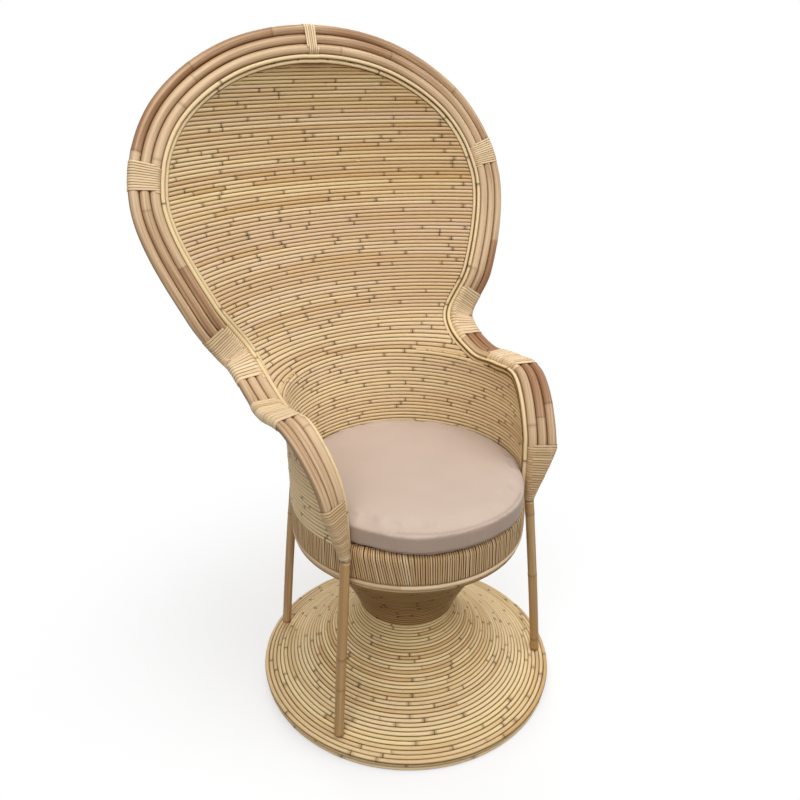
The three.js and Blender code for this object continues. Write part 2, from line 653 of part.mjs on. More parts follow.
// Struts: the front ones carry on from the rim's inner poles, the rear ones lie against the tub.
// A foot's flat end, leaning with its strut, comes down on the highest ridge of the base under it.
const strutRadius = STRUT_DIAMETER / 2;
const footRadius = BASE_RADIUS - STRUT_FOOT_INSET;
const rearTop = SEAT_RADIUS + WALL_HALF + FIT + strutRadius;
const strutLean = (footRadius - rearTop) / DECK_HEIGHT;
const ridgeLine = outsideLine(base);
const footRests = [-1, -0.5, 0, 0.5, 1].map((share) => {
  const radius = footRadius + share * strutRadius;
  const k = ridgeLine.findIndex(([r]) => r < radius);
  const [[r0, z0], [r1, z1]] = [ridgeLine[k - 1], ridgeLine[k]];
  return z0 + ((z1 - z0) * (radius - r0)) / (r1 - r0) - share * strutRadius * strutLean;
});
const footHeight = Math.max(...footRests) + FIT;
for (const [side, sign] of [["left", -1], ["right", 1]]) {
  const frame = rimFrame(sign * STATIONS);
  const top = poleCentre(frame, 0);
  const heading = Math.atan2(top.x, top.y) / RADIAN;
  const foot = round(footRadius, heading, footHeight);
  const fall = new THREE.Vector3().subVectors(foot, top).normalize();
  const along = new THREE.Vector3().crossVectors(frame.across, frame.face).multiplyScalar(sign).normalize();
  top.addScaledVector(fall, FIT + strutRadius * Math.sin(fall.angleTo(along)));
  rod("front_strut_" + side, foot, top, STRUT_DIAMETER, POLE_FINISH);
  rod(
    "rear_strut_" + side,
    round(footRadius, sign * REAR_STRUT_ANGLE, footHeight),
    round(rearTop, sign * REAR_STRUT_ANGLE, DECK_HEIGHT),
    STRUT_DIAMETER,
    POLE_FINISH,
  );
}

// Boxed round cushion: flat below, soft edges, a band drawn in between them and a crowned top.
function cushionProfile() {
  const radius = SEAT_RADIUS - WALL_HALF - CUSHION_GAP;
  const bottom = DECK_HEIGHT + FIT;
  const top = bottom + CUSHION_THICKNESS;
  const turn = CUSHION_EDGE * (1 - Math.SQRT1_2);
  return [
    [0, bottom],
    [radius - CUSHION_EDGE, bottom],
    [radius - turn, bottom + turn],
    [radius, bottom + CUSHION_EDGE],
    [radius - CUSHION_DRAW, bottom + CUSHION_THICKNESS / 2],
    [radius, top - CUSHION_EDGE],
    [radius - turn, top - turn],
    [radius - CUSHION_EDGE, top],
    [radius * 0.6, top + CUSHION_CROWN * 0.8],
    [0, top + CUSHION_CROWN],
  ];
}
add("cushion", turned(cushionProfile()), CUSHION_FINISH);

// The part's origin is on the floor, under the middle of its box.
const box = new THREE.Box3().setFromObject(chair, true);
const middle = box.getCenter(new THREE.Vector3());
chair.position.set(-middle.x, -middle.y, -box.min.z);

export default chair;
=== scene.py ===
"""Looks of a rattan peacock chair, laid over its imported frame.

Reeds lie side by side on a trumpet pedestal, a tub and a dished head, inside a rim of three bent poles that cane
bindings hold together. A loose cushion lies on the seat. Metres, +Z up, the sitter faces -Y.
"""

import math
from functools import partial
from types import SimpleNamespace

import bpy
import numpy as np
from mathutils import Matrix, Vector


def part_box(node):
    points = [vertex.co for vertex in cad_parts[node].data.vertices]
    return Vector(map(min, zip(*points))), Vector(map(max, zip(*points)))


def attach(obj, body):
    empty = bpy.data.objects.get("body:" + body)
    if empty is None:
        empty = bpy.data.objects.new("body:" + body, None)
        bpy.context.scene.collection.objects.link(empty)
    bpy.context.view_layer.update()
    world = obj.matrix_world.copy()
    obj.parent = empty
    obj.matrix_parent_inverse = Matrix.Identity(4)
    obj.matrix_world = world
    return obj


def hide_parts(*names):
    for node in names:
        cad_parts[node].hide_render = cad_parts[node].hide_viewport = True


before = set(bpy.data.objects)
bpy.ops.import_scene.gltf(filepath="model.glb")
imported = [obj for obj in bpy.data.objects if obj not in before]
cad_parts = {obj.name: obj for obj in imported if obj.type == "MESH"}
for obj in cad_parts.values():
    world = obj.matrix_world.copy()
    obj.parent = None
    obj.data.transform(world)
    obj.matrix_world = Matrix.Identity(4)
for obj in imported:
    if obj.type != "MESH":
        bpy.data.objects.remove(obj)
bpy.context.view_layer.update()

bl_info = {
    "name": "Peacock chair",
    "version": (1, 0, 0),
    "blender": (4, 5, 0),
    "location": "View3D > Sidebar > Chair",
    "description": "Lays the reeds, poles, cane and cushion of a peacock chair over its frame",
    "category": "Add Mesh",
}

TURN = 2 * math.pi
LAID = "laid"


def middle_of(node):
    """Middle of a frame node's box."""
    low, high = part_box(node)
    return (low + high) / 2


AXIS_Y = middle_of("floor_hoop").y  # the pedestal's axis, which all the shapes are worked out from
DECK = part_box("seat_deck")[1].z
CLEARANCE = 0.0003  # room that the frame leaves between two pieces
CANE = 0.0013  # thickness of a strip of cane
END_GAP = 0.0006  # gap between the two ends of a hoop
STRAND_SHIFT = 3.7  # metres of grain from one strand to the next, so that no two look alike
PRESSED, SLIM = 1.02, 0.97  # rim poles press on each other, and rods behind other pieces keep clear of them
HOOP_REACH = 0.577  # from the middle of a hoop's section out to its edge, as a share of its height
INNER_RIB = 0.006  # half the thickness of a rib inside the pedestal
TRUMPET_POWER = 1.3  # power of the superellipse that the pedestal follows
TUB_SWELL = 0.0095  # how far the tub's back swells out half-way up
TUB_DEPTH = 0.280  # how far behind the axis the back lies at the arms' height
DISH = ((0.821, 0.348), (0.940, 0.403), (1.080, 0.445), (1.190, 0.443))  # the same for four heights up the back
STATIONS = 10  # the rim's stations run from 0 at the crown to this one at the front foot, negative on the left
ARM_BOW = 0.009  # how far the middle of an arm bows out
KNEE, FOOT = math.radians(117.5), math.radians(122)  # where the rim's front bend and foot stand, from the rear
FOOT_OUT, KNEE_IN, FOOT_DROP = 0.0089, 0.002, 0.022  # foot outside the wall, knee inside the foot, foot under the deck
SPLICE, SPLICE_GAP = 5.0, 0.003  # station where the head's poles meet the arms' poles
POLE_ENDS = (10.0, 9.56, 9.22)  # last stations of the inner, middle and outer pole
POLE_TONES = ((-0.15, 0.1, 0.2), (-0.3, -0.1, 0.0), (-0.25, 0.4, 0.5))  # ruddier poles: head, left arm, right arm
# first and last station of each binding
BOUND = {"crown": (0.0, 0.06), "upper": (2.54, 2.85), "waist": (4.35, 5.6), "arm": (6.55, 7.8), "front": (9.2, 9.97)}
CONE = (9.26, 9.94)  # stations where a front cone holds three poles and only one
PLAIN_TONE, PLAIN_DUST_AND_SHADE = 0.4, 0.6  # marks of strands that need none of their own
SHADE = 0.6  # painted shade: how much the wall's tone darkens per metre towards +X, one side of the wall darker as if less lit
STRIP_SHARE = 0.97  # width of a strip of cane as a share of its pitch
APRON_FAN = 3.66  # angle from the rear where the apron's leaning strands meet the upright ones


def length(default, name, description):
    """A size in metres that the sidebar shows."""
    return bpy.props.FloatProperty(name=name, description=description, default=default, unit="LENGTH", precision=4)


def colour(default, name, description):
    """A colour as the eye sees it, three values from 0 to 1."""
    return bpy.props.FloatVectorProperty(
        name=name, description=description, default=default, size=3, subtype="COLOR_GAMMA", min=0, max=1
    )


class ChairSizes(bpy.types.PropertyGroup):
    """Sizes of the chair, measured from the pedestal's axis and the floor."""

    deck: length(DECK, "Deck", "Height of the seat deck")
    seat_radius: length(0.242, "Seat", "Radius of the reed wall at the seat")
    base_radius: length(0.324, "Base", "Radius of the pedestal's edge")
    neck_radius: length(0.101, "Neck", "Radius of the pedestal at its neck")
    neck_height: length(0.173, "Neck height", "Height of the pedestal's neck")
    hoop: length(0.018, "Floor hoop", "Thickness of the hoop under the base")
    seat_hoop: length(0.013, "Seat hoop", "Thickness of the hoop under the apron")
    apron: length(0.066, "Apron", "Height of the wound apron")
    crown_height: length(1.298, "Crown height", "Inner edge of the rim at the crown")
    crown_back: length(0.404, "Crown back", "Inner edge of the rim at the crown, behind the axis")
    head_half: length(0.376, "Head", "Half width of the head inside its rim")
    head_height: length(1.030, "Head height", "Height where the head is widest")
    head_back: length(0.308, "Head back", "How far behind the axis the head is widest")
    cheek_half: length(0.316, "Cheek", "Half width below the head")
    cheek_height: length(0.838, "Cheek height", "Height of the cheek")
    cheek_back: length(0.241, "Cheek back", "How far behind the axis the cheek is")
    waist_half: length(0.252, "Waist", "Half width where the rim bends into the arms")
    waist_height: length(0.733, "Waist height", "Height of the waist")
    waist_back: length(0.224, "Waist back", "How far behind the axis the waist is")
    arm_height: length(0.680, "Arm height", "Height of the arms")
    arm_rear: length(0.119, "Arm rear", "Rear end of the arm, behind the axis")
    arm_middle: length(0.038, "Arm middle", "Middle of the arm, behind the axis")
    arm_front: length(-0.043, "Arm front", "Front end of the arm, behind the axis")
    knee_height: length(0.584, "Knee height", "Height of the rim's bend at the front")
    pole: length(0.0195, "Pole", "Thickness of a rim pole")
    strut: length(0.020, "Strut", "Thickness of a strut")
    tuck: length(0.0035, "Tuck", "How far the poles are drawn in against the edge reeds")
    edge_reed: length(0.0100, "Edge reed", "Thickness of the two reeds inside the rim")
    reed: length(0.0082, "Reed", "Thickness of a reed of the wall")
    reed_pitch: length(0.0083, "Reed pitch", "From one reed of the wall to the next")
    base_pitch: length(0.0078, "Base reed pitch", "From one reed of the pedestal to the next")
    rib: length(0.014, "Rib", "Thickness of a rib behind the wall")
    cushion_radius: length(0.233, "Cushion", "Radius of the cushion before it is filled")
    cushion_height: length(0.0515, "Cushion height", "Height of the cushion before it is filled")
    cushion_edge: length(0.016, "Cushion edge", "Radius of the cushion's soft edge")
    apron_strands: bpy.props.IntProperty(name="Apron strands", description="Strands round the apron", default=330)


class ChairColours(bpy.types.PropertyGroup):
    """Colours of the chair's finishes."""

    straw: colour((0.92, 0.825, 0.63), "Straw", "Palest reeds")
    honey: colour((0.79, 0.645, 0.425), "Honey", "Darkest reeds")
    blush: colour((0.86, 0.752, 0.63), "Blush", "Pinkish reeds")
    # the groove colour also paints shade: between reeds, between poles, between turns of cane and on the reeds' flanks
    groove: colour((0.41, 0.26, 0.08), "Groove", "Dust and sheath between two reeds")
    scar: colour((0.17, 0.075, 0.02), "Scar", "Dark ring where two lengths of reed meet")
    pole_pale: colour((0.82, 0.705, 0.56), "Pale pole", "Sunny side of a pole")
    pole_red: colour((0.57, 0.40, 0.265), "Red pole", "Ruddy stretches of a pole")
    cane_pale: colour((0.90, 0.80, 0.65), "Pale cane", "Cane with its skin on")
    cane_tan: colour((0.78, 0.645, 0.47), "Tan cane", "Cane from nearer the pith")
    frame_brown: colour((0.60, 0.45, 0.30), "Frame", "Hidden ribs, hoops and bearers")
    board: colour((0.72, 0.57, 0.40), "Board", "Seat deck")
    cloth: colour((0.78, 0.705, 0.65), "Cloth", "Cushion cover")
    floor: colour((0.96, 0.96, 0.96), "Floor", "Studio floor")


def linear(gamma):
    """A colour as the eye sees it, turned into light: the sRGB curve undone, with full alpha."""
    value = np.array(gamma[:], float)
    light = np.where(value <= 0.04045, value / 12.92, ((value + 0.055) / 1.055) ** 2.4)
    return (*light, 1.0)


class Wire:
    """A socket of a node sheet. Arithmetic on wires and numbers adds Math nodes."""

    def __init__(self, sheet, socket):
        self.sheet = sheet
        self.socket = socket

    def maths(self, operation, *values):
        """One Math node on this wire and the values."""
        return self.sheet.node("ShaderNodeMath", {"operation": operation}, [self, *values])

    def __add__(self, other):
        return self.maths("ADD", other)

    __radd__ = __add__

    def __mul__(self, other):
        return self.maths("MULTIPLY", other)

    __rmul__ = __mul__

    def __sub__(self, other):
        return self.maths("SUBTRACT", other)

    def __rsub__(self, other):
        return self.sheet.node("ShaderNodeMath", {"operation": "SUBTRACT"}, [other, self])

    def __abs__(self):
        return self.maths("ABSOLUTE")


class Sheet:
    """The nodes of one finish, of the floor or of the world."""

    def __init__(self, tree):
        self.tree = tree

    def node(self, kind, settings=None, inputs=(), output=0):
        """Adds a node: its settings first, then the values or wires of its sockets by place, name or identifier."""
        made = self.tree.nodes.new(kind)
        for key, value in (settings or {}).items():
            setattr(made, key, value)
        pairs = inputs.items() if isinstance(inputs, dict) else enumerate(inputs)
        for key, value in pairs:
            self.plug(made, key, value)
        return Wire(self, made.outputs[output])

    def plug(self, node, key, value):
        """Links a wire to a node's socket, or sets the socket's value."""
        places = [key] if isinstance(key, int) else [
            place for place, socket in enumerate(node.inputs) if key in (socket.identifier, socket.name)
        ]
        socket = node.inputs[places[0]]
        if isinstance(value, Wire):
            self.tree.links.new(value.socket, socket)
        else:
            socket.default_value = value

    def mark(self, name):
        """A value that the mesh carries at each point."""
        return self.node("ShaderNodeAttribute", {"attribute_name": name}, output="Fac")

    def laid(self):
        """Two wires: the share of the way round a strand, and the distance along it in metres."""
        place = self.node("ShaderNodeUVMap", {"uv_map": LAID})
        around = self.node("ShaderNodeSeparateXYZ", None, [place], "X")
        return around, Wire(self, around.socket.node.outputs["Y"])

    def grain(self, strand, tightness, stretch, detail):
        """Noise that closes round a strand, on a circle of that tightness and along the stretched length."""
        around, along = strand
        angle = around * TURN
        spots = [angle.maths("COSINE") * tightness, angle.maths("SINE") * tightness, along * stretch]
        return self.noise(self.node("ShaderNodeCombineXYZ", None, spots), 1.0, detail)

    def facing(self, strand):
        """1 where a strand's surface looks along the way across that it was laid with, and 0 square to it."""
        return abs((strand[0] * TURN).maths("COSINE"))

    def noise(self, place, scale, detail):
        """Soft noise from 0 to 1."""
        return self.node("ShaderNodeTexNoise", None, {"Vector": place, "Scale": scale, "Detail": detail}, "Fac")

    def ease(self, value, low, high):
        """0 below low, 1 above high, with a smooth step between, or the other way round where high is lower."""
        limits = {"Value": value, "From Min": min(low, high), "From Max": max(low, high)}
        limits["To Min"], limits["To Max"] = (0.0, 1.0) if low < high else (1.0, 0.0)
        return self.node("ShaderNodeMapRange", {"interpolation_type": "SMOOTHSTEP"}, limits)

    def blend(self, share, first, second):
        """A colour between two others."""
        inputs = {"Factor_Float": share, "A_Color": first, "B_Color": second}
        return self.node("ShaderNodeMix", {"data_type": "RGBA"}, inputs, 2)

    def seen(self):
        """1 for light that goes to the camera straight, off a glossy surface or through a clear one, else 0."""
        straight = self.node("ShaderNodeLightPath", output="Is Camera Ray")
        glossy = Wire(self, straight.socket.node.outputs["Is Glossy Ray"])
        through = Wire(self, straight.socket.node.outputs["Is Transmission Ray"])
        return straight.maths("MAXIMUM", glossy).maths("MAXIMUM", through)

    def relief(self, height, strength, distance):
        """A normal that follows the height."""
        inputs = {"Height": height, "Strength": strength, "Distance": distance}
        return self.node("ShaderNodeBump", None, inputs, "Normal")


def new_finish(name, constants):
    """A material's sheet and its shader, with the sockets that are the same all over already set."""
    material = bpy.data.materials.new(name)
    material.use_nodes = True
    sheet = Sheet(material.node_tree)
    shader = material.node_tree.nodes["Principled BSDF"]
    for key, value in constants.items():
        shader.inputs[key].default_value = value
    return material, sheet, shader


SATIN = {"Specular IOR Level": 0.14}
WAXED = {"Specular IOR Level": 0.3, "Coat Weight": 0.08, "Coat Roughness": 0.35}
WOVEN = {"Specular IOR Level": 0.2, "Sheen Weight": 0.2, "Sheen Roughness": 0.4}


def reed_finish(sheet, tints):
    """Round reed with its skin on: straw to honey from piece to piece, fine fibres along it, brown dust and painted
    shade where it meets the next reed, painted shade on its flanks, and a dark scar with a smudge beside it where two
    lengths meet."""
    strand = sheet.laid()
    fibres = sheet.grain(strand, 2.2, 9.0, 3.0)
    patches = sheet.grain(strand, 0.35, 7.0, 2.0)
    tone = sheet.mark("tone") + (patches - 0.5) * 0.55 + (fibres - 0.5) * 0.35
    skin = sheet.blend(sheet.ease(tone, 0.05, 0.95), tints.straw, tints.honey)
    skin = sheet.blend(sheet.mark("blush") * 0.8, skin, tints.blush)
    facing = sheet.facing(strand)
    # painted shade: each reed's flanks darken towards the groove colour, so that it looks round
    skin = sheet.blend(sheet.ease(facing, 0.97, 0.55) * 0.22, skin, tints.groove)
    # dust and painted shade: the groove colour where the reed turns towards the next one, in the groove between them
    dust_and_shade = sheet.ease(facing + (patches - 0.5) * 0.2, 0.80, 0.26)
    skin = sheet.blend(dust_and_shade * (sheet.mark("dust_and_shade") + 0.32), skin, tints.groove)
    flecks = sheet.grain(strand, 1.6, 60.0, 1.0)
    skin = sheet.blend(sheet.ease(flecks, 0.68, 0.8) * 0.35, skin, tints.groove)
    smudge = sheet.mark("smudge") * sheet.ease(facing, 0.95, 0.35)
    dark = sheet.mark("scar").maths("MAXIMUM", smudge * 0.9)
    skin = sheet.blend(dark * 0.95, skin, tints.scar)
    return skin, 0.44 + fibres * 0.16 + dark * 0.2, sheet.relief(fibres, 0.25, 0.0004)


def pole_finish(sheet, tints):
    """Peeled pole: pale tan that runs into ruddy stretches, with long streaks, dark knot rings, and dust and painted
    shade where it meets the next pole."""
    strand = sheet.laid()
    streaks = sheet.grain(strand, 3.2, 4.0, 3.0)
    stretches = sheet.grain(strand, 0.55, 3.2, 2.0)
    tone = sheet.mark("tone") + (stretches - 0.5) * 2.0 + (streaks - 0.5) * 1.2
    skin = sheet.blend(sheet.ease(tone, 0.0, 1.0), tints.pole_pale, tints.pole_red)
    skin = sheet.blend(sheet.mark("blush"), skin, tints.honey)
    lines = sheet.ease(sheet.grain(strand, 7.0, 6.0, 2.0), 0.58, 0.72)
    skin = sheet.blend(lines * 0.28, skin, tints.groove)
    skin = sheet.blend(sheet.mark("scar") * 0.42, skin, tints.scar)
    # dust and painted shade: the groove colour on the sides that face the next pole
    beside = sheet.ease(sheet.facing(strand), 0.72, 1.0)
    skin = sheet.blend(beside * sheet.mark("dust_and_shade"), skin, tints.groove)
    return skin, 0.40 + streaks * 0.2, sheet.relief(streaks, 0.3, 0.0006)


def cane_finish(sheet, tints):
    """Flat cane: pale straw to tan from turn to turn, long fibres, and edges darkened by dust and painted shade where
    two turns meet.
    """
    strand = sheet.laid()
    fibres = sheet.grain(strand, 3.0, 6.0, 3.0)
    patches = sheet.grain(strand, 0.3, 11.0, 2.0)
    tone = sheet.mark("tone") + (patches - 0.5) * 0.5 + (fibres - 0.5) * 0.4
    skin = sheet.blend(sheet.ease(tone, 0.0, 1.0), tints.cane_pale, tints.cane_tan)
    # dust and painted shade: the groove colour at the edges where one turn meets the next
    edge = sheet.ease(sheet.facing(strand), 0.9, 0.5)
    skin = sheet.blend(edge * sheet.mark("dust_and_shade"), skin, tints.groove)
    return skin, 0.46 + fibres * 0.16, sheet.relief(fibres, 0.3, 0.0004)


def frame_finish(sheet, tints):
    """Plain bent rattan of the hidden frame: brown, with long streaks."""
    streaks = sheet.grain(sheet.laid(), 2.4, 5.0, 3.0)
    skin = sheet.blend(sheet.ease(streaks, 0.45, 0.85) * 0.5, tints.frame_brown, tints.pole_pale)
    skin = sheet.blend(sheet.mark("scar") * 0.6, skin, tints.scar)
    return skin, 0.52 + streaks * 0.2, sheet.relief(streaks, 0.3, 0.0005)


def board_finish(sheet, tints):
    """Sawn board: straight grain along X, from noise stretched on Object coordinates."""
    place = sheet.node("ShaderNodeTexCoord", output="Object")
    stretched = sheet.node("ShaderNodeMapping", None, {"Vector": place, "Scale": (4.0, 60.0, 60.0)})
    grain = sheet.noise(stretched, 1.0, 4.0)
    skin = sheet.blend(sheet.ease(grain, 0.35, 0.7), tints.board, tints.frame_brown)
    return skin, 0.55 + grain * 0.2, sheet.relief(grain, 0.2, 0.0005)


def cloth_finish(sheet, tints):
    """Smooth cushion cover: a fine plain weave of two crossing waves, faint mottling, and painted shade on the band and
    in the seams.
    """
    place = sheet.node("ShaderNodeTexCoord", output="Object")
    threads = {"Vector": place, "Scale": 260.0}
    across, down = (
        sheet.node("ShaderNodeTexWave", {"bands_direction": way}, threads, "Fac") for way in ("X", "Y")
    )
    weave = across * down
    mottle = sheet.noise(place, 14.0, 3.0)
    up = sheet.node("ShaderNodeSeparateXYZ", None, [sheet.node("ShaderNodeNewGeometry", output="Normal")], "Z")
    # painted shade: the cover darkens where it faces sideways rather than up, so the side band is darker as if lit from
    # above
    band = sheet.ease(up, 0.8, 0.2)
    # the seams' darkening is painted shade in their creases; mottle and weave are the cloth's own
    shade = sheet.ease(mottle, 0.3, 0.75) * 0.07 + weave * 0.06 + sheet.mark("seam") * 0.4 + band * 0.42
    darker = tuple(np.multiply(tints.cloth, (0.54, 0.42, 0.32, 1.0)))
    height = weave * 0.12 + mottle * 0.2 - sheet.mark("seam")
    return sheet.blend(shade, tints.cloth, darker), 0.72 + weave * 0.12, sheet.relief(height, 0.35, 0.0008)


FINISHES = {
    "reed": ("rattan_reed", SATIN, reed_finish),
    "pole": ("rattan_pole", WAXED, pole_finish),
    "cane": ("split_cane", SATIN, cane_finish),
    "frame": ("plain_rattan", SATIN, frame_finish),
    "board": ("sawn_board", SATIN, board_finish),
    "cloth": ("cushion_cover", WOVEN, cloth_finish),
}
made_finishes = {}


def finish_of(name):
    """The material of that name, made when it is first asked for: its colour, roughness and relief."""
    if name not in made_finishes:
        title, constants, design = FINISHES[name]
        material, sheet, shader = new_finish(title, constants)
        colours = bpy.context.scene.chair_colours
        tints = SimpleNamespace(**{key: linear(getattr(colours, key)) for key in ChairColours.__annotations__})
        for socket, wire in zip(("Base Color", "Roughness", "Normal"), design(sheet, tints)):
            sheet.plug(shader, socket, wire)
        made_finishes[name] = material
    return made_finishes[name]


def unit(vectors):
    """Vectors brought to length 1."""
    return vectors / np.maximum(np.linalg.norm(vectors, axis=-1, keepdims=True), 1e-12)


def travelled(points):
    """Distance along a line of points, or along each of several, from 0 at the start."""
    steps = np.linalg.norm(np.diff(points, axis=-2), axis=-1)
    return np.concatenate([0 * steps[..., :1], steps.cumsum(-1)], -1)


def eased(share):
    """A smooth step from 0 to 1."""
    share = np.clip(share, 0, 1)
    return share * share * (3 - 2 * share)


def lay_mesh(name, points, quads, finish, corners, marks, flat_from):
    """A new object from points round the pedestal's axis and four-cornered faces, smooth up to face flat_from."""
    mesh = bpy.data.meshes.new(name)
    placed = points.reshape(-1, 3) + (0, AXIS_Y, 0)
    mesh.vertices.add(len(placed))
    mesh.vertices.foreach_set("co", placed.ravel())
    mesh.loops.add(quads.size)
    mesh.loops.foreach_set("vertex_index", quads.ravel().astype(np.int32))
    mesh.polygons.add(len(quads))
    mesh.polygons.foreach_set("loop_start", np.arange(0, quads.size, 4, dtype=np.int32))
    mesh.polygons.foreach_set("use_smooth", np.arange(len(quads)) < flat_from)
    mesh.uv_layers.new(name=LAID).data.foreach_set("uv", corners.ravel())
    for key, values in marks.items():
        mesh.attributes.new(key, "FLOAT", "POINT").data.foreach_set("value", values.ravel())
    mesh.update(calc_edges=True)
    mesh.materials.append(finish_of(finish))
    piece = bpy.data.objects.new(name, mesh)
    bpy.context.scene.collection.objects.link(piece)
    return piece


def set_piece(piece, node, body="frame"):
    """The piece rides on a body and stands for a frame node."""
    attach(piece, body)
    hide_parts(node)


def lay_tubes(name, paths, across, wide, high, sides, finish, marks, flat=False):
    """Strands along paths of one length. At each path point lies an ellipse: wide along across, and high along the
    cross product of the path and across. A flat strand takes the square roots of the ellipse's sine and cosine, which
    gives a rounded oblong. Each end is closed by a row of four-cornered faces."""
    strands, rings = paths.shape[:2]
    along = unit(np.gradient(paths, axis=1))
    across = unit(across - (across * along).sum(-1, keepdims=True) * along)
    up = np.cross(along, across)
    angle = TURN * np.arange(sides) / sides
    power = 0.5 if flat else 1.0
    cosine, sine = (np.sign(wave) * np.abs(wave) ** power for wave in (np.cos(angle), np.sin(angle)))
    out = (across * wide[..., None])[:, :, None] * cosine[:, None]
    over = (up * high[..., None])[:, :, None] * sine[:, None]
    points = paths[:, :, None] + out + over
    strand, ring, side = np.meshgrid(np.arange(strands), np.arange(rings - 1), np.arange(sides), indexing="ij")
    steps = ((0, 0), (0, 1), (1, 1), (1, 0))
    quads = np.stack([(strand * rings + ring + r) * sides + (side + s) % sides for r, s in steps], -1).reshape(-1, 4)
    far = travelled(paths) + STRAND_SHIFT * np.arange(strands)[:, None]
    corners = np.stack([np.stack([(side + s) / sides, far[strand, ring + r]], -1) for r, s in steps], 3).reshape(-1, 2)
    k = np.arange(sides // 2 - 1)
    start = np.stack([k, sides - 1 - k, sides - 2 - k, k + 1], 1)
    first = (np.arange(strands) * rings * sides)[:, None, None]
    last = first + (rings - 1) * sides
    caps = np.concatenate([first + start, last + start[:, ::-1]], 1).reshape(-1, 4)
    cap_far = np.repeat(far[:, [0, -1]], len(k), axis=1).reshape(-1)
    cap_corners = np.stack([np.tile([0.0, 0.25, 0.5, 0.75], len(caps)), np.repeat(cap_far, 4)], 1)
    carried = {key: np.repeat(values[:, :, None], sides, 2) for key, values in marks.items()}
    faces, places = np.concatenate([quads, caps]), np.concatenate([corners, cap_corners])
    return lay_mesh(name, points, faces, finish, places, carried, len(quads))


def lay_turned(name, profile, finish):
    """A closed profile of radius and height, counter-clockwise, turned round the pedestal's axis in 96 steps."""
    segments = 96
    angle = TURN * np.arange(segments)[:, None] / segments
    radius, height = np.array(profile).T
    count = len(height)
    points = np.stack([radius * np.cos(angle), radius * np.sin(angle), height + 0 * angle], -1)
    turn, step = np.meshgrid(np.arange(segments), np.arange(count), indexing="ij")
    steps = ((0, 0), (1, 0), (1, 1), (0, 1))
    quads = np.stack([(turn + t) % segments * count + (step + s) % count for t, s in steps], -1).reshape(-1, 4)
    arc = radius[step] * TURN / segments
    corners = np.stack([np.stack([(step + s) / count, arc * (turn + t)], -1) for t, s in steps], 2)
    marks = {key: np.zeros(segments * count) for key in ("tone", "scar", "dust_and_shade")}
    return lay_mesh(name, points, quads, finish, corners, marks, len(quads))


class Layout:
    """Rings, joints and colour marks along a batch of reeds or poles of given lengths.

    Each strand has even rings and three close rings at every joint. Joints lie at even steps plus a random part, and
    a short strand drops some of them. Marks per ring: the tone and blush of the piece between two joints, a scar that
    fades with the distance from a joint, a smudge on one side of it, and the strand's girth, which swells at a joint.
    """

    CLOSE = 0.0015  # from a joint to the rings beside it
    SCAR = 0.0018  # half width of a scar
    LEAD, TRAIL = 0.0016, (0.004, 0.022)  # a smudge before its joint, and its shortest and longest run after it
    SWELL, NICK = 0.005, 0.0012  # half widths of the swelling at a joint and of the nick in it

    def __init__(self, seed, lengths, step, joints, spacing, swell, girth=0.03):
        rng = np.random.default_rng(seed)
        lengths = np.asarray(lengths, float)[:, None]
        count = len(lengths)
        pieces = (count, joints + 1)
        rings = max(3, int(lengths.max() / step))
        even = np.broadcast_to(np.linspace(0, 1, rings), (count, rings))
        places = (np.arange(joints) + rng.uniform(0.1, 0.9, (count, joints))) / joints
        close = self.CLOSE / lengths
        self.shares = np.sort(np.hstack([even, places - close, places, places + close]), axis=1)
        reach = (self.shares[:, :, None] - places[:, None, :]) * lengths[:, :, None]
        live = (rng.random((count, joints)) < lengths / (joints * spacing))[:, None, :]
        near = np.where(live, np.abs(reach), 1.0).min(axis=2)
        piece = ((reach > 0) & live).sum(axis=2)
        row = np.arange(count)[:, None]
        drift = np.stack([np.convolve(rng.normal(size=count + 6), np.ones(4) / 2, "valid")[:count] for _ in range(2)])
        tones = 0.34 + 0.10 * drift[0][:, None] + rng.normal(0, 0.15, pieces)
        tones += 0.35 * (rng.random(pieces) < 0.04)
        blushes = 0.25 + 0.14 * drift[1][:, None] + rng.normal(0, 0.16, pieces)
        strength = rng.uniform(0.7, 1.0, (count, 1, joints))
        beside = reach * rng.choice([-1.0, 1.0], (count, 1, joints))
        trail = rng.uniform(*self.TRAIL, (count, 1, joints))
        smudge = np.where(live & (beside > -self.LEAD), 1 - np.maximum(beside, 0) / trail, 0).clip(0, 1) * strength
        scar = np.where(live, np.exp(-((reach / self.SCAR) ** 2)) * strength, 0)
        self.marks = {
            "tone": tones[row, piece].clip(0, 1),
            "blush": blushes[row, piece].clip(0, 1),
            "scar": scar.max(axis=2),
            "smudge": smudge.max(axis=2),
            "dust_and_shade": np.full(self.shares.shape, PLAIN_DUST_AND_SHADE),
        }
        thick = 1 + rng.normal(0, girth, pieces)[row, piece].clip(-2 * girth, 2 * girth)
        self.girth = thick * (1 + swell * np.exp(-((near / self.SWELL) ** 2)))
        self.girth -= 0.05 * np.exp(-((near / self.NICK) ** 2))
        wander = rng.uniform(0, TURN, (3, count, 1))
        self.wave = sum(np.sin(self.shares * lengths * k + w) for k, w in zip((9, 21, 43), wander)) / 3


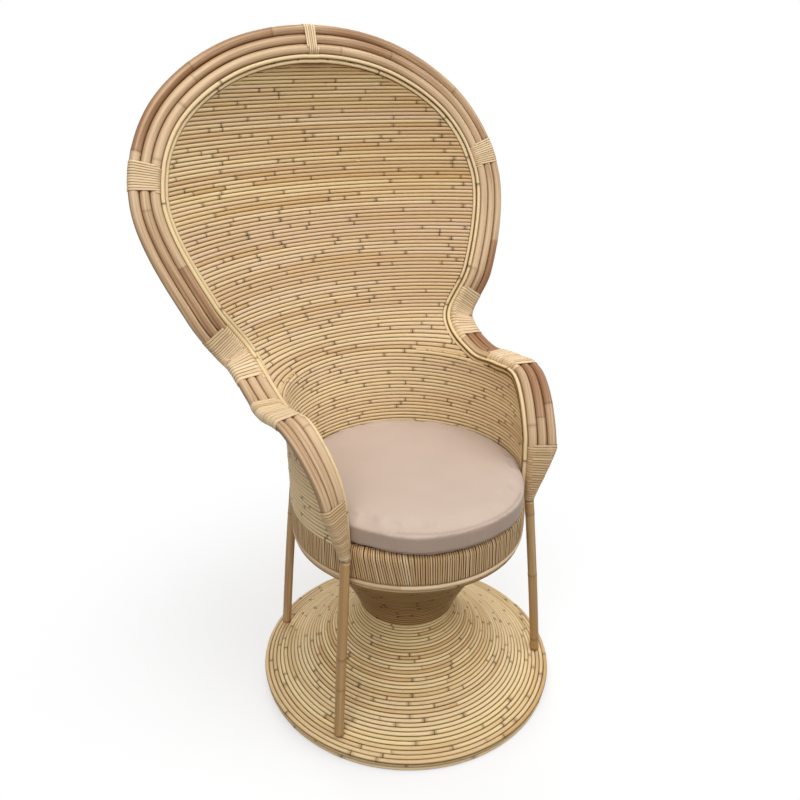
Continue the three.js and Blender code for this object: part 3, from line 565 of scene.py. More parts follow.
def spline(points, places):
    """Centripetal Catmull-Rom curve through points, read at fractional point numbers, with its slope there.

    A stretch is a cubic whose end slopes weigh the steps before and after it by the square roots of their lengths.
    """
    padded = np.vstack([2 * points[0] - points[1], points, 2 * points[-1] - points[-2]])
    k = np.clip(np.floor(places).astype(int), 0, len(points) - 2)
    t = (places - k)[:, None]
    p0, p1, p2, p3 = (padded[k + i] for i in range(4))
    d0, d1, d2 = (np.sqrt(np.linalg.norm(b - a, axis=1))[:, None] for a, b in ((p0, p1), (p1, p2), (p2, p3)))
    m1 = ((p1 - p0) / d0 - (p2 - p0) / (d0 + d1) + (p2 - p1) / d1) * d1
    m2 = ((p2 - p1) / d1 - (p3 - p1) / (d1 + d2) + (p3 - p2) / d2) * d1
    c2 = 3 * (p2 - p1) - 2 * m1 - m2
    c3 = 2 * (p1 - p2) + m1 + m2
    return p1 + m1 * t + c2 * t**2 + c3 * t**3, m1 + 2 * c2 * t + 3 * c3 * t**2


def trumpet(s, rim_radius, rim_height, outward, pitch, taper=0.0):
    """Outline of the pedestal from a rim to the neck, as radius, height and outward normal at steps of a pitch.

    It is a superellipse: upright at the neck and nearly level at the rim. A step at the rim is longer than the pitch
    by the taper, and one at the neck is as much shorter.
    """
    angle = np.linspace(0, math.pi / 2, 600)
    power = 2 / TRUMPET_POWER
    radius = rim_radius - (rim_radius - s.neck_radius) * np.sin(angle) ** power
    height = s.neck_height + (rim_height - s.neck_height) * np.abs(np.cos(angle)) ** power
    far = travelled(np.stack([radius, height], 1))
    share = np.linspace(0, 1, round(far[-1] / pitch) + 1)
    wanted = far[-1] * share * (1 + taper * (1 - share))
    line = np.stack([np.interp(wanted, far, radius), np.interp(wanted, far, height)], 1)
    slope = unit(np.gradient(line, axis=0))
    return line, np.stack([slope[:, 1], -slope[:, 0]], 1) * outward


def ring_path(radius, height, angles):
    """Points on level circles, at angles from the rear towards the right."""
    return np.stack([radius * np.sin(angles), radius * np.cos(angles), height + 0 * angles], -1)


def dish_line(s):
    """Middle line of the back, from the deck to the crown: a curve through eight heights, read at 161 points."""
    half_way = ((s.deck + s.arm_height) / 2, s.seat_radius + TUB_SWELL)
    tub = ((s.deck, s.seat_radius), half_way, (s.arm_height, TUB_DEPTH))
    rows = (*tub, *DISH, (s.crown_height, s.crown_back))
    points = np.array([(0, y, z) for z, y in rows])
    return spline(points, np.linspace(0, len(rows) - 1, 161))[0]


def dish(s, z):
    """How far behind the axis the back's middle line lies at a height, and how it leans there."""
    line = dish_line(s)
    back = np.interp(z, line[:, 2], line[:, 1])
    lean = np.interp(z, line[:, 2], np.gradient(line[:, 1]) / np.gradient(line[:, 2]))
    return back, lean


def rim_points(s):
    """Inner edge of the rim on the right half: half an ellipse in a leaning plane over the head, then the cheek, the
    waist, three points of the arm, and the knee and foot on a circle round the seat."""
    arch = np.radians([0, 30, 60, 90])
    rise = np.cos(arch)
    back = s.head_back + (s.crown_back - s.head_back) * rise
    height = s.head_height + (s.crown_height - s.head_height) * rise
    foot = s.seat_radius + FOOT_OUT
    knee = foot - KNEE_IN
    lower = [
        (s.cheek_half, s.cheek_back, s.cheek_height),
        (s.waist_half, s.waist_back, s.waist_height),
        (s.seat_radius, s.arm_rear, s.arm_height),
        (s.seat_radius + ARM_BOW, s.arm_middle, s.arm_height),
        (s.seat_radius, s.arm_front, s.arm_height),
        (knee * math.sin(KNEE), knee * math.cos(KNEE), s.knee_height),
        (foot * math.sin(FOOT), foot * math.cos(FOOT), s.deck - FOOT_DROP),
    ]
    return np.vstack([np.stack([s.head_half * np.sin(arch), back, height], 1), lower])


def rim_frames(s, stations):
    """The rim at station numbers, negative on the left: its inner edge, the way across the poles, the face of the
    flange and the way inward over the reed wall."""
    right = rim_points(s)
    whole = np.vstack([right[:0:-1] * (-1, 1, 1), right])
    edge, slope = spline(whole, STATIONS + np.abs(stations))
    along = unit(slope)
    above = np.maximum(0, edge[:, 2] - s.head_height)
    behind = np.where(above > 0, edge[:, 1] - s.head_back, np.minimum(edge[:, 1], 0))
    across = np.stack([edge[:, 0], behind, above], 1)
    across = unit(across - (across * along).sum(1, keepdims=True) * along)
    face = np.cross(along, across)
    back, lean = dish(s, edge[:, 2])
    wrap = 2 * np.arctan2(back - edge[:, 1], np.maximum(edge[:, 0], 1e-6))
    outward = unit(np.stack([np.sin(wrap), np.cos(wrap), -lean * np.cos(wrap)], 1))
    inward = unit(np.cross(outward, along))
    flip = np.where(stations < 0, -1.0, 1.0)[:, None] * (1, 0, 0) + (0, 1, 1)
    return {"edge": edge * flip, "across": across * flip, "face": face * flip, "inward": inward * flip}


def pole_path(s, pole, stations):
    """Middle of the first, second or third pole out from the rim's inner edge."""
    rim = rim_frames(s, stations)
    return rim["edge"] + rim["across"] * (s.pole / 2 - s.tuck + pole * (s.pole + CLEARANCE)), rim["across"]


def cane_room(stations):
    """Room between the inner pole and the edge reeds: next to none, but half a strip of cane at a binding, which bites
    into the reed."""
    place = np.abs(stations)
    inside = np.max([np.minimum(place - start, end - place) for start, end in BOUND.values()], axis=0)
    return CANE / 2 * eased(inside / 0.03 + 1) - CLEARANCE


def edge_reed_path(s, row, stations):
    """Middle of an edge reed and the way out of the wall there. The first reed lies against the inner pole and its
    bindings and sinks a little beside the arms, the second one lies further in over the wall."""
    rim = rim_frames(s, stations)
    arm, reach, fade, sink = 7.4, 1.6, 0.7, 0.0035  # middle of the arm, stations to its ends, and the sinking there
    aside = rim["edge"] - rim["across"] * (s.tuck + cane_room(stations) + s.edge_reed / 2)[:, None]
    on_arm = eased((reach - np.abs(np.abs(stations) - arm)) / fade)
    aside = aside - sink * on_arm[:, None] * (0, 0, 1)
    return aside + rim["inward"] * row * s.edge_reed * 0.99, rim["face"]


def along_rim(line, start, end, seed, **layout_sizes):
    """Layout of one strand that follows a line on the rim from station to station, its path and the way across it."""
    fine = np.linspace(start, end, 1200)
    far = travelled(line(fine)[0])
    layout = Layout(seed, far[-1:], step=0.006, **layout_sizes)
    path, across = line(np.interp(layout.shares[0] * far[-1], far, fine))
    return layout, path[None], across[None]


def wall_edge(s, stations):
    """Where the reeds of the wall end: inside the second edge reed."""
    path, _ = edge_reed_path(s, 1, stations)
    return path - rim_frames(s, stations)["inward"] * s.edge_reed * 0.1


def edge_at(s, z, high, low):
    """The wall's right edge at heights, found on the stretch of rim between two stations."""
    line = wall_edge(s, np.linspace(high, low, 500))
    order = np.argsort(line[:, 2])
    return np.interp(z, line[order, 2], line[order, 0]), np.interp(z, line[order, 2], line[order, 1])


def tub_top(s):
    """Height where the tub's courses end and the back's begin."""
    return wall_edge(s, np.linspace(6, 8, 60))[:, 2].min()


def courses(s, z):
    """Level courses of reeds at heights: half width, depth, wrap angle, back and lean of each.

    A course is an arc through the dish's middle line and the wall's edge on both sides. In the tub it is part of an
    ellipse as wide as the arms, above it part of a circle.
    """
    back, lean = dish(s, z)
    top = tub_top(s)
    front_x, front_y = edge_at(s, z, 8, STATIONS)
    widest = wall_edge(s, np.array([7.0]))[0, 0]
    half = np.maximum(s.seat_radius + (widest - s.seat_radius) * (z - s.deck) / (top - s.deck), front_x + CLEARANCE)
    sink = np.sqrt(np.maximum(0, 1 - (front_x / half) ** 2))
    depth = back - (front_y + sink * back) / (1 + sink)
    tub_wrap = math.pi - np.arcsin(np.clip(front_x / half, 0, 1))
    back_x, back_y = edge_at(s, z, 0, 6)
    back_wrap = np.maximum(2 * np.arctan2(back - back_y, back_x), 0.02)
    radius = back_x / np.sin(back_wrap)
    tub = z < top
    return np.where(tub, half, radius), np.where(tub, depth, radius), np.where(tub, tub_wrap, back_wrap), back, lean


def course_points(course, z, shares):
    """Points and outward normals of courses at shares from the left end to the right end."""
    half, depth, wrap, back, lean = (value[:, None] for value in course)
    angle = (2 * shares - 1) * wrap
    points = np.stack([half * np.sin(angle), back - depth * (1 - np.cos(angle)), z[:, None] + 0 * angle], -1)
    out = unit(np.stack([np.sin(angle), np.cos(angle), -lean * np.cos(angle)], -1))
    return points, out


def no_marks(shape):
    """Marks for strands with one tone and no joints."""
    return {"tone": np.full(shape, PLAIN_TONE), "scar": np.zeros(shape), "dust_and_shade": np.full(shape, PLAIN_DUST_AND_SHADE)}


class CHAIR_OT_pedestal_reeds(bpy.types.Operator):
    """Lay the reeds of the trumpet base and of the flare under the seat, hoop upon hoop"""

    bl_idname = "chair.pedestal_reeds"
    bl_label = "Pedestal reeds"

    def execute(self, context):
        """A reed is a circle at each step of the trumpet's outline. Its section is an ellipse as tall as that step."""
        s = context.scene.chair_sizes
        half = s.reed / 2
        seat_hoop_bottom = s.deck - s.apron - 2 * CLEARANCE - s.seat_hoop
        wander, press = 0.0003, 1.03  # how far a reed strays, and how tightly it lies on the next one
        shares = {"tone": 1, "blush": 0.6, "scar": 1, "smudge": 0.5, "dust_and_shade": 0.7}
        # place, radius and height at the rim, way out, taper, tone, roll and seed: the flare's reeds are rolled, so
        # that the dust and painted shade on their upper sides shows; the flare's higher tone is painted shade under the
        # seat
        rims = (
            ("base", s.base_radius - half, s.hoop + half, 1, 0.22, 0.0, 0.0, 11),
            ("flare", s.seat_radius - half, seat_hoop_bottom - half, -1, 0.0, 0.6, -0.75, 12),
        )
        for place, radius, height, outward, taper, tone, roll, seed in rims:
            line, normal = trumpet(s, radius, height, outward, s.base_pitch, taper)
            if outward < 0:  # the base has the reed at the neck already
                line, normal = line[:-1], normal[:-1]
            cosine, sine = math.cos(roll), math.sin(roll)
            normal = normal @ np.array([[cosine, sine], [-sine, cosine]])
            step = np.linalg.norm(np.gradient(line, axis=0), axis=1)[:, None]
            layout = Layout(seed, TURN * line[:, 0] - END_GAP, step=0.012, joints=12, spacing=0.21, swell=0.05)
            start = np.random.default_rng(seed).uniform(0, TURN, (len(line), 1))
            angles = start + layout.shares * (TURN - END_GAP / line[:, :1])
            out = ring_path(normal[:, :1], normal[:, 1:], angles)
            paths = ring_path(line[:, :1], line[:, 1:], angles) + out * layout.wave[..., None] * wander
            tall = np.maximum(layout.girth, 1.0) * step / 2 * press
            wide = layout.girth * (half + step / 2) / 2
            marks = {key: values * shares[key] for key, values in layout.marks.items()}
            marks["tone"] += tone
            piece = lay_tubes(f"{place}_reeds", paths, out, wide, tall, 8, "reed", marks)
            set_piece(piece, f"{place}_reed_skin")
        return {"FINISHED"}


class CHAIR_OT_pedestal_frame(bpy.types.Operator):
    """Bend the hoops at the floor, neck and seat and the ribs inside the pedestal"""

    bl_idname = "chair.pedestal_frame"
    bl_label = "Pedestal frame"

    def execute(self, context):
        """A hoop is a circle in its node's box. A rib follows the trumpet's outline inside the reeds."""
        s = context.scene.chair_sizes
        cut = 2.0  # angle from the rear where a hoop's ends meet
        # place, finish, slot, hoops in the stack and seed
        for place, finish, slot, stack, seed in (
            ("floor", "reed", "frame", 2, 21),
            ("neck", "frame", "frame", 1, 22),
            ("seat", "cane", "cane", 1, 23),
        ):
            low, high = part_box(f"{place}_hoop")
            thick = high.z - low.z
            radius = (high.x - low.x) / 2 - thick * HOOP_REACH
            layout = Layout(seed, [TURN * radius - END_GAP] * stack, step=0.012, joints=8, spacing=0.25, swell=0.03)
            level = np.arange(stack)[:, None]
            angles = cut + level + layout.shares * (TURN - END_GAP / radius)
            paths = ring_path(radius, low.z + thick * (level + 0.5) / stack, angles)
            out = ring_path(1.0, 0.0, angles)
            girth = layout.girth.clip(0.9, 1.0) * thick / 2
            piece = lay_tubes(f"{place}_ring", paths, out, girth, girth / stack, 16, finish, layout.marks)
            set_piece(piece, f"{place}_hoop")
        half, pitch = s.reed / 2, 0.009
        inset = half + CLEARANCE + INNER_RIB
        base, base_out = trumpet(s, s.base_radius - half, s.hoop + half, 1, pitch)
        flare, flare_out = trumpet(s, s.seat_radius - half, s.deck - s.apron - s.seat_hoop - half, -1, pitch)
        line = np.vstack([base - base_out * inset, (flare - flare_out * inset)[-2::-1]])
        line = line[line[:, 0] < s.base_radius - 0.022]  # clear of the floor hoop
        ribs = 6
        for i in range(ribs):
            turn = TURN * (i + 0.5) / ribs
            path = ring_path(line[:, 0], line[:, 1], np.full(len(line), turn))[None]
            aside = np.broadcast_to(ring_path(1.0, 0.0, np.array([turn + math.pi / 2])), path.shape)
            thick = np.full(path.shape[:2], INNER_RIB)
            piece = lay_tubes(f"inner_rib_{i + 1}", path, aside, thick, thick, 12, "frame", no_marks(path.shape[:2]))
            set_piece(piece, f"pedestal_rib_{i + 1}")
        return {"FINISHED"}


class CHAIR_OT_apron(bpy.types.Operator):
    """Wind upright cane round the apron's core"""

    bl_idname = "chair.apron"
    bl_label = "Apron"

    def execute(self, context):
        """A strand follows one outline at its own slanting angle: a quarter round, upright, a quarter round and in."""
        s = context.scene.chair_sizes
        skin, strand = 0.0008, 0.0012  # depth of a strand's middle in the frame's winding, and half its thickness
        top_bend, low_bend = 0.015, 0.005
        low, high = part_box("apron_wrap")
        radius, top = (high.x - low.x) / 2 - skin, high.z - skin
        core_low, core_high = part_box("apron_core")
        deep, thick = 0.018, 0.014  # from the core's outside in to its inner face, and its thickness under the cane
        inside = (core_high.x - core_low.x) / 2 - deep
        outside = inside + thick
        ring = [(inside, low.z), (outside, low.z), (outside, high.z - 0.012), (inside, high.z - 0.003)]
        set_piece(lay_turned("apron_ring", ring, "frame"), "apron_core")
        rng = np.random.default_rng(31)
        count = s.apron_strands
        middle = TURN * (np.arange(count) + rng.normal(0, 0.05, count)) / count
        turn = np.linspace(0, math.pi / 2, 5)
        low_turn = np.stack([radius - low_bend * (1 - np.sin(turn)), low.z + low_bend * (1 - np.cos(turn))], 1)
        up = np.stack([np.full(4, radius), np.linspace(low.z + low_bend, high.z - top_bend, 6)[1:-1]], 1)
        top_turn = np.stack([radius - top_bend * (1 - np.cos(turn)), top - top_bend * (1 - np.sin(turn))], 1)
        outline = np.vstack([low_turn, up, top_turn, (inside + 0.004, top)])
        far = travelled(outline)
        past = middle - APRON_FAN  # the strands past this angle lean, and upright ones follow again 0.75 rad on
        fan = np.clip(past / 0.16 + 0.5, 0, 1) * np.clip((0.75 - past) / 0.3, 0, 1)
        sway = 0.012 * np.sin(2 * middle + 0.6) + 0.008 * np.sin(7 * middle)
        slant = 0.05 * fan + sway + rng.normal(0, 0.003, count)
        angles = middle[:, None] + slant[:, None] * (far / far[-1] - 0.4)
        out_by = rng.normal(0, 0.0003, (count, 1)).clip(-0.0005, 0.0005)
        paths = ring_path(outline[:, 0] + out_by, outline[:, 1], angles)
        slope = unit(np.gradient(outline, axis=0))
        out = ring_path(slope[:, 1], -slope[:, 0], angles)
        thin = np.full(angles.shape, strand)
        spread = (np.roll(angles, -1, 0) - np.roll(angles, 1, 0)) % TURN / 4
        half = rng.uniform(0.96, 1.06, (count, 1)) * outline[:, 0] * spread
        marks = no_marks(angles.shape)
        marks["dust_and_shade"] += 0.5  # deep shade between the strands
        # tan cane, darker in part as painted shade under the cushion
        marks["tone"] = np.broadcast_to(rng.normal(0.8, 0.2, (count, 1)).clip(0.2, 1.3), angles.shape)
        piece = lay_tubes("apron_winding", paths, out, thin, half, 8, "cane", marks)
        set_piece(piece, "apron_wrap")
        return {"FINISHED"}


class CHAIR_OT_seat_deck(bpy.types.Operator):
    """Set the round deck on its three bearers"""

    bl_idname = "chair.seat_deck"
    bl_label = "Seat deck"

    def execute(self, context):
        """The deck is a stack of four circles with soft edges, and a bearer a straight rod along its node's box."""
        low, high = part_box("seat_deck")
        radius = (high.x - low.x) / 2
        soft = 0.0015  # bevel of the board's edges
        path = ring_path(0, np.array([low.z, low.z + soft, high.z - soft, high.z]), np.zeros(4))[None]
        girth = radius - np.array([[soft, 0, 0, soft]])
        across = np.broadcast_to((1.0, 0.0, 0.0), path.shape)
        piece = lay_tubes("deck_board", path, across, girth, girth, 96, "board", no_marks((1, 4)))
        set_piece(piece, "seat_deck")
        for i in (1, 2, 3):
            low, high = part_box(f"seat_bearer_{i}")
            middle = middle_of(f"seat_bearer_{i}")
            x = np.linspace(low.x, high.x, 60)
            path = np.stack([x, middle.y - AXIS_Y + 0 * x, middle.z + 0 * x], 1)[None]
            up = np.broadcast_to((0.0, 0.0, 1.0), path.shape)
            girth = np.full((1, 60), (high.z - low.z) / 2 * SLIM)
            piece = lay_tubes(f"bearer_{i}", path, up, girth, girth, 14, "frame", no_marks((1, 60)))
            set_piece(piece, f"seat_bearer_{i}")
        return {"FINISHED"}


class CHAIR_OT_rim_poles(bpy.types.Operator):
    """Bend the three poles of the rim over the head and down both arms"""

    bl_idname = "chair.rim_poles"
    bl_label = "Rim poles"

    def execute(self, context):
        """A pole keeps its distance from the rim's inner edge, from its first station to its last."""
        s = context.scene.chair_sizes
        for pole, place in enumerate(("inner", "middle", "outer")):
            line, last = partial(pole_path, s, pole), POLE_ENDS[pole]
            # name, node, first and last station, and joints
            runs = (
                ("head", "head_pole", -SPLICE, SPLICE, 7),
                ("arm_left", "arm_pole_left", -last, -SPLICE - SPLICE_GAP, 3),
                ("arm_right", "arm_pole_right", SPLICE + SPLICE_GAP, last, 3),
            )
            for run, (name, node, start, end, joints) in enumerate(runs):
                knots = {"joints": joints, "spacing": 0.32, "swell": 0.05, "girth": 0.006}
                layout, path, across = along_rim(line, start, end, 41 + 3 * pole + run, **knots)
                girth = layout.girth * s.pole / 2 * PRESSED
                tone = layout.marks["tone"] + POLE_TONES[run][pole]
                marks = dict(layout.marks, tone=tone, blush=0 * layout.shares)
                piece = lay_tubes(f"pole_{name}_{place}", path, across, girth, girth, 20, "pole", marks)
                set_piece(piece, f"{node}_{place}")
        return {"FINISHED"}


class CHAIR_OT_edge_reeds(bpy.types.Operator):
    """Lay the two thin reeds that finish the wall inside the rim"""

    bl_idname = "chair.edge_reeds"
    bl_label = "Edge reeds"

    def execute(self, context):
        """Both reeds follow the rim to the height of the deck on either side."""
        s = context.scene.chair_sizes
        down = np.linspace(9, STATIONS, 400)
        end = np.interp(-(s.deck - s.edge_reed / 2), -rim_frames(s, down)["edge"][:, 2], down)
        for row, place in enumerate(("outer", "inner")):
            line = partial(edge_reed_path, s, row)
            layout, path, across = along_rim(line, -end, end, 61 + row, joints=14, spacing=0.25, swell=0.08)
            girth = layout.girth * s.edge_reed / 2
            marks = dict(layout.marks, tone=layout.marks["tone"] * 0.5)
            piece = lay_tubes(f"trim_reed_{place}", path, across, girth, girth, 12, "reed", marks)
            set_piece(piece, f"edge_reed_{place}")
        return {"FINISHED"}


def wall_rows(s):
    """Heights of the wall's full courses: even steps along the back's middle line, from the deck to the crown, and one
    course lower down that rests on the apron's shoulder."""
    line = dish_line(s)
    far = travelled(line)
    crown = wall_edge(s, np.array([0.0]))[0, 2]
    low, high = s.reed * 0.55, np.interp(crown - s.reed * 0.1, line[:, 2], far)
    steps = np.linspace(low, high, round((high - low) / s.reed_pitch) + 1)
    rows = np.interp(steps, far, line[:, 2])
    return np.concatenate([[rows[0] - s.reed_pitch], rows]), crown


def row_gaps(s, rows):
    """Distance square to the reeds from each full course to the next, at 121 shares of the way along them."""
    shares = np.broadcast_to(np.linspace(0, 1, 121), (len(rows), 121))
    points, _ = course_points(courses(s, rows), rows, shares)
    along = unit(np.gradient(points, axis=1))[:-1]
    step = np.diff(points, axis=0)
    gaps = np.linalg.norm(step - (step * along).sum(-1, keepdims=True) * along, axis=2)
    first = np.searchsorted(rows, tub_top(s))
    gaps[first - 1] = np.linalg.norm(points[first] - nearest(points[first], points[first - 1]), axis=1)
    return gaps


def nearest(points, line):
    """For each point, the point of a line that lies nearest to it."""
    return line[np.linalg.norm(points[:, None] - line[None], axis=2).argmin(1)]


def seam_rows(s, rows, z, points):
    """Moves the short reeds between the tub and the back half-way between the last course below and the first above."""
    first = np.searchsorted(rows, tub_top(s))
    pair = rows[first - 1 : first + 1]
    below, above = course_points(courses(s, pair), pair, np.linspace(0, 1, 900)[None])[0]
    for k in np.flatnonzero((z > rows[first - 1] + 1e-6) & (z < rows[first] - 1e-6)):
        upper = above[np.abs(above[:, None, 0] - points[k][None, :, 0]).argmin(0)]
        points[k] = (upper + nearest(upper, below)) / 2


def short_rows(s, rows, gaps):
    """Short reeds that fill the sides where two full courses spread: height, first and last share. One reaches in
    until the gap is down to a reed and a quarter."""
    found = []
    shares = np.linspace(0, 1, gaps.shape[1])
    for low, high, gap in zip(rows[:-1], rows[1:], gaps):
        extra = round(gap[:8].max() / s.reed_pitch) - 1
        for k in range(1, extra + 1):
            narrow = np.argmax(gap[:60] < s.reed_pitch * (1.25 + 0.5 * (extra - 1)))
            reach = shares[narrow]
            if reach > 0.02:
                height = low + (high - low) * k / (extra + 1)
                found += [(height, 0.0, reach), (height, 1 - reach, 1.0)]
    return np.array(found).reshape(-1, 3)


def towards(points, lines, open_start, open_end, most):
    """From each point to the nearest of some lines, or nothing where that is too far off or past a line's open end."""
    far = np.linalg.norm(points[None, :, None] - lines[:, None], axis=3)
    place = far.argmin(2)
    far = far.min(2)
    past = (place == 0) & open_start[:, None] | (place == lines.shape[1] - 1) & open_end[:, None]
    far = np.where(past | (far > most), np.inf, far)
    line = far.argmin(0)
    point = np.arange(len(points))
    found = np.isfinite(far[line, point])
    return np.where(found[:, None], lines[line, place[line, point]] - points, 0.0)


def sections(s, laid, lines, z, points):
    """How the reeds' sections face, and half their heights, so that each one touches the reeds above and below it.

    A section's height points from its neighbour below to its neighbour above, and is half the wider of the two steps.
    """
    facing, tall = np.empty(points.shape), np.empty(points.shape[:2])
    most = 2.1 * s.reed_pitch
    for k, (height, line) in enumerate(zip(z, points)):
        steps = []
        for sign in (1, -1):
            rise = sign * (laid[:, 0] - height)
            near = (rise > 1e-6) & (rise < most)
            open_start, open_end = laid[near, 1] > 0, laid[near, 2] < 1
            steps.append(towards(line, lines[near], open_start, open_end, most) if near.any() else 0 * line)
        along = unit(np.gradient(line, axis=0))
        facing[k] = np.cross(unit(steps[0]) - unit(steps[1]), along)
        tall[k] = np.linalg.norm(steps, axis=2).max(0) / 2
    press, least, limit = 1.04, 0.36, 0.85  # how tightly reeds lie on each other, and the flattest and tallest half
    return facing, np.clip(tall * press, s.reed * least, s.reed * limit)


class CHAIR_OT_reed_wall(bpy.types.Operator):
    """Lay the level courses of reeds from the seat to the crown"""

    bl_idname = "chair.reed_wall"
    bl_label = "Reed wall"

    def execute(self, context):
        """A reed follows its course, and its section reaches half-way to the reeds above and below it."""
        s = context.scene.chair_sizes
        top = tub_top(s)
        rows, crown = wall_rows(s)
        short = short_rows(s, rows, row_gaps(s, rows))
        everything = np.vstack([np.stack([rows, 0 * rows, 0 * rows + 1], 1), short])
        lines = self.lay(s, rows, everything, np.linspace(0, 1, 160))[0]
        bands = np.concatenate([[0, top], top + (crown - top) * np.array([0.25, 0.5, 0.75, 1.01])])
        wander = 0.0004  # how far a reed strays
        # the bands' tones are partly the reeds' own and partly painted light and shade: the tub paler, the back darker
        # each band's place, tone and blush
        looks = (
            ("tub", -0.22, 0.25),
            ("waist", 0.08, 0.35),
            ("back_low", 0.3, 0.35),
            ("back_middle", 0.22, 0.15),
            ("back_high", 0.17, 0.0),
        )
        for band, (place, tone, blush) in enumerate(looks):
            laid = everything[(everything[:, 0] >= bands[band]) & (everything[:, 0] < bands[band + 1])]
            lengths = travelled(self.lay(s, rows, laid, np.linspace(0, 1, 80))[0])[:, -1]
            layout = Layout(71 + band, lengths, step=0.008, joints=7, spacing=0.2, swell=0.05)
            points, out = self.lay(s, rows, laid, layout.shares)
            facing, tall = sections(s, everything, lines, laid[:, 0], points)
            paths = points + out * layout.wave[..., None] * wander
            # painted shade: the tone darkens towards +X
            tone = layout.marks["tone"] + tone + SHADE * paths[..., 0]
            marks = dict(layout.marks, tone=tone, blush=layout.marks["blush"] + blush)
            wide = layout.girth * s.reed / 2
            piece = lay_tubes(f"wall_reeds_{place}", paths, facing, wide, tall, 10, "reed", marks)
            set_piece(piece, f"reed_wall_{place}")
        return {"FINISHED"}

    def lay(self, s, rows, laid, shares):
        """Points and outward normals at shares of the way along reeds given by height, first and last share."""
        z, start, end = laid.T
        spread = start[:, None] + (end - start)[:, None] * shares
        points, out = course_points(courses(s, z), z, spread)
        seam_rows(s, rows, z, points)
        return points, out


class CHAIR_OT_back_ribs(bpy.types.Operator):
    """Bend the four ribs that the wall's reeds are nailed to from behind"""

    bl_idname = "chair.back_ribs"
    bl_label = "Back ribs"

    def execute(self, context):
        """A rib keeps its share of the wall's half width at every height, and lies just behind the reeds."""
        s = context.scene.chair_sizes
        top = tub_top(s)
        crown = wall_edge(s, np.array([0.0]))[0, 2] - s.reed
        clear = 0.0006  # between a rib and the reeds
        for i, share in enumerate((-0.75, -0.25, 0.25, 0.75)):  # shares of the half width
            high = crown - share**2 * (crown - s.head_height) * 0.8 - s.rib
            z = np.linspace(s.deck + 0.003, high, 160)
            course = courses(s, z)
            aside = share * edge_at(s, np.maximum(z, top), 0, 6)[0]
            shares = 0.5 + np.arcsin(np.clip(aside / course[0], -1, 1)) / course[2] / 2
            points, out = course_points(course, z, shares[:, None])
            path = (points + out * (s.reed / 2 + s.rib / 2 + clear))[None, :, 0]
            layout = Layout(81 + i, travelled(path)[:, -1], step=0.006, joints=4, spacing=0.25, swell=0.04)
            places = np.linspace(0, 1, path.shape[1])
            even = np.stack([np.interp(layout.shares[0], places, path[0, :, axis]) for axis in range(3)], 1)[None]
            back = np.broadcast_to((0.0, 1.0, 0.0), even.shape)
            girth = layout.girth.clip(0.9, 1.04) * s.rib / 2 * SLIM
            piece = lay_tubes(f"nailing_rib_{i + 1}", even, back, girth, girth, 14, "pole", layout.marks)
            set_piece(piece, f"back_rib_{i + 1}")
        return {"FINISHED"}


def winding(s, turns, stations):
    """Path of a flat strip wound round the rim's poles, the way out of it, half its width and its turn numbers.

    Seen along the poles it goes round a stadium: straight over the poles, half a circle round the outer one, back and
    half a circle round the inner one. The stations are reached at the given numbers of turns, evenly between them. On
    the front cones the straight stretch shrinks from two poles to none.
    """
    per_turn = 40
    done = np.linspace(0, turns[-1], turns[-1] * per_turn)
    place = np.interp(done, turns, stations)
    poles = 2 * np.clip((CONE[1] - np.abs(place)) / (CONE[1] - CONE[0]), 0, 1)
    straight = poles * (s.pole + CLEARANCE)
    radius = s.pole / 2 + CANE / 2
    around = done % 1.0 * (2 * straight + TURN * radius)
    bend = math.pi * radius
    parts = [around < straight, around < straight + bend, around < 2 * straight + bend]
    outer_angle = math.pi / 2 - (around - straight) / radius
    inner_angle = -math.pi / 2 - (around - 2 * straight - bend) / radius
    angle = np.select(parts, [math.pi / 2 + 0 * around, outer_angle, -math.pi / 2 + 0 * around], inner_angle)
    aside = np.select(parts, [around, straight, 2 * straight + bend - around], 0.0) + s.pole / 2 - s.tuck

    def on_rim(at):
        """The strip's points and the way out, with the rim taken at other stations."""
        rim = rim_frames(s, at)
        out = rim["across"] * np.cos(angle)[:, None] + rim["face"] * np.sin(angle)[:, None]
        return rim["edge"] + rim["across"] * aside[:, None] + out * radius, out

    path, out = on_rim(place)
    small = 0.004
    per_station = np.linalg.norm(on_rim(place + small)[0] - on_rim(place - small)[0], axis=1) / (2 * small)
    pitch = per_station * np.abs(np.gradient(place, done))
    return path, out, pitch * STRIP_SHARE / 2, done.astype(int)


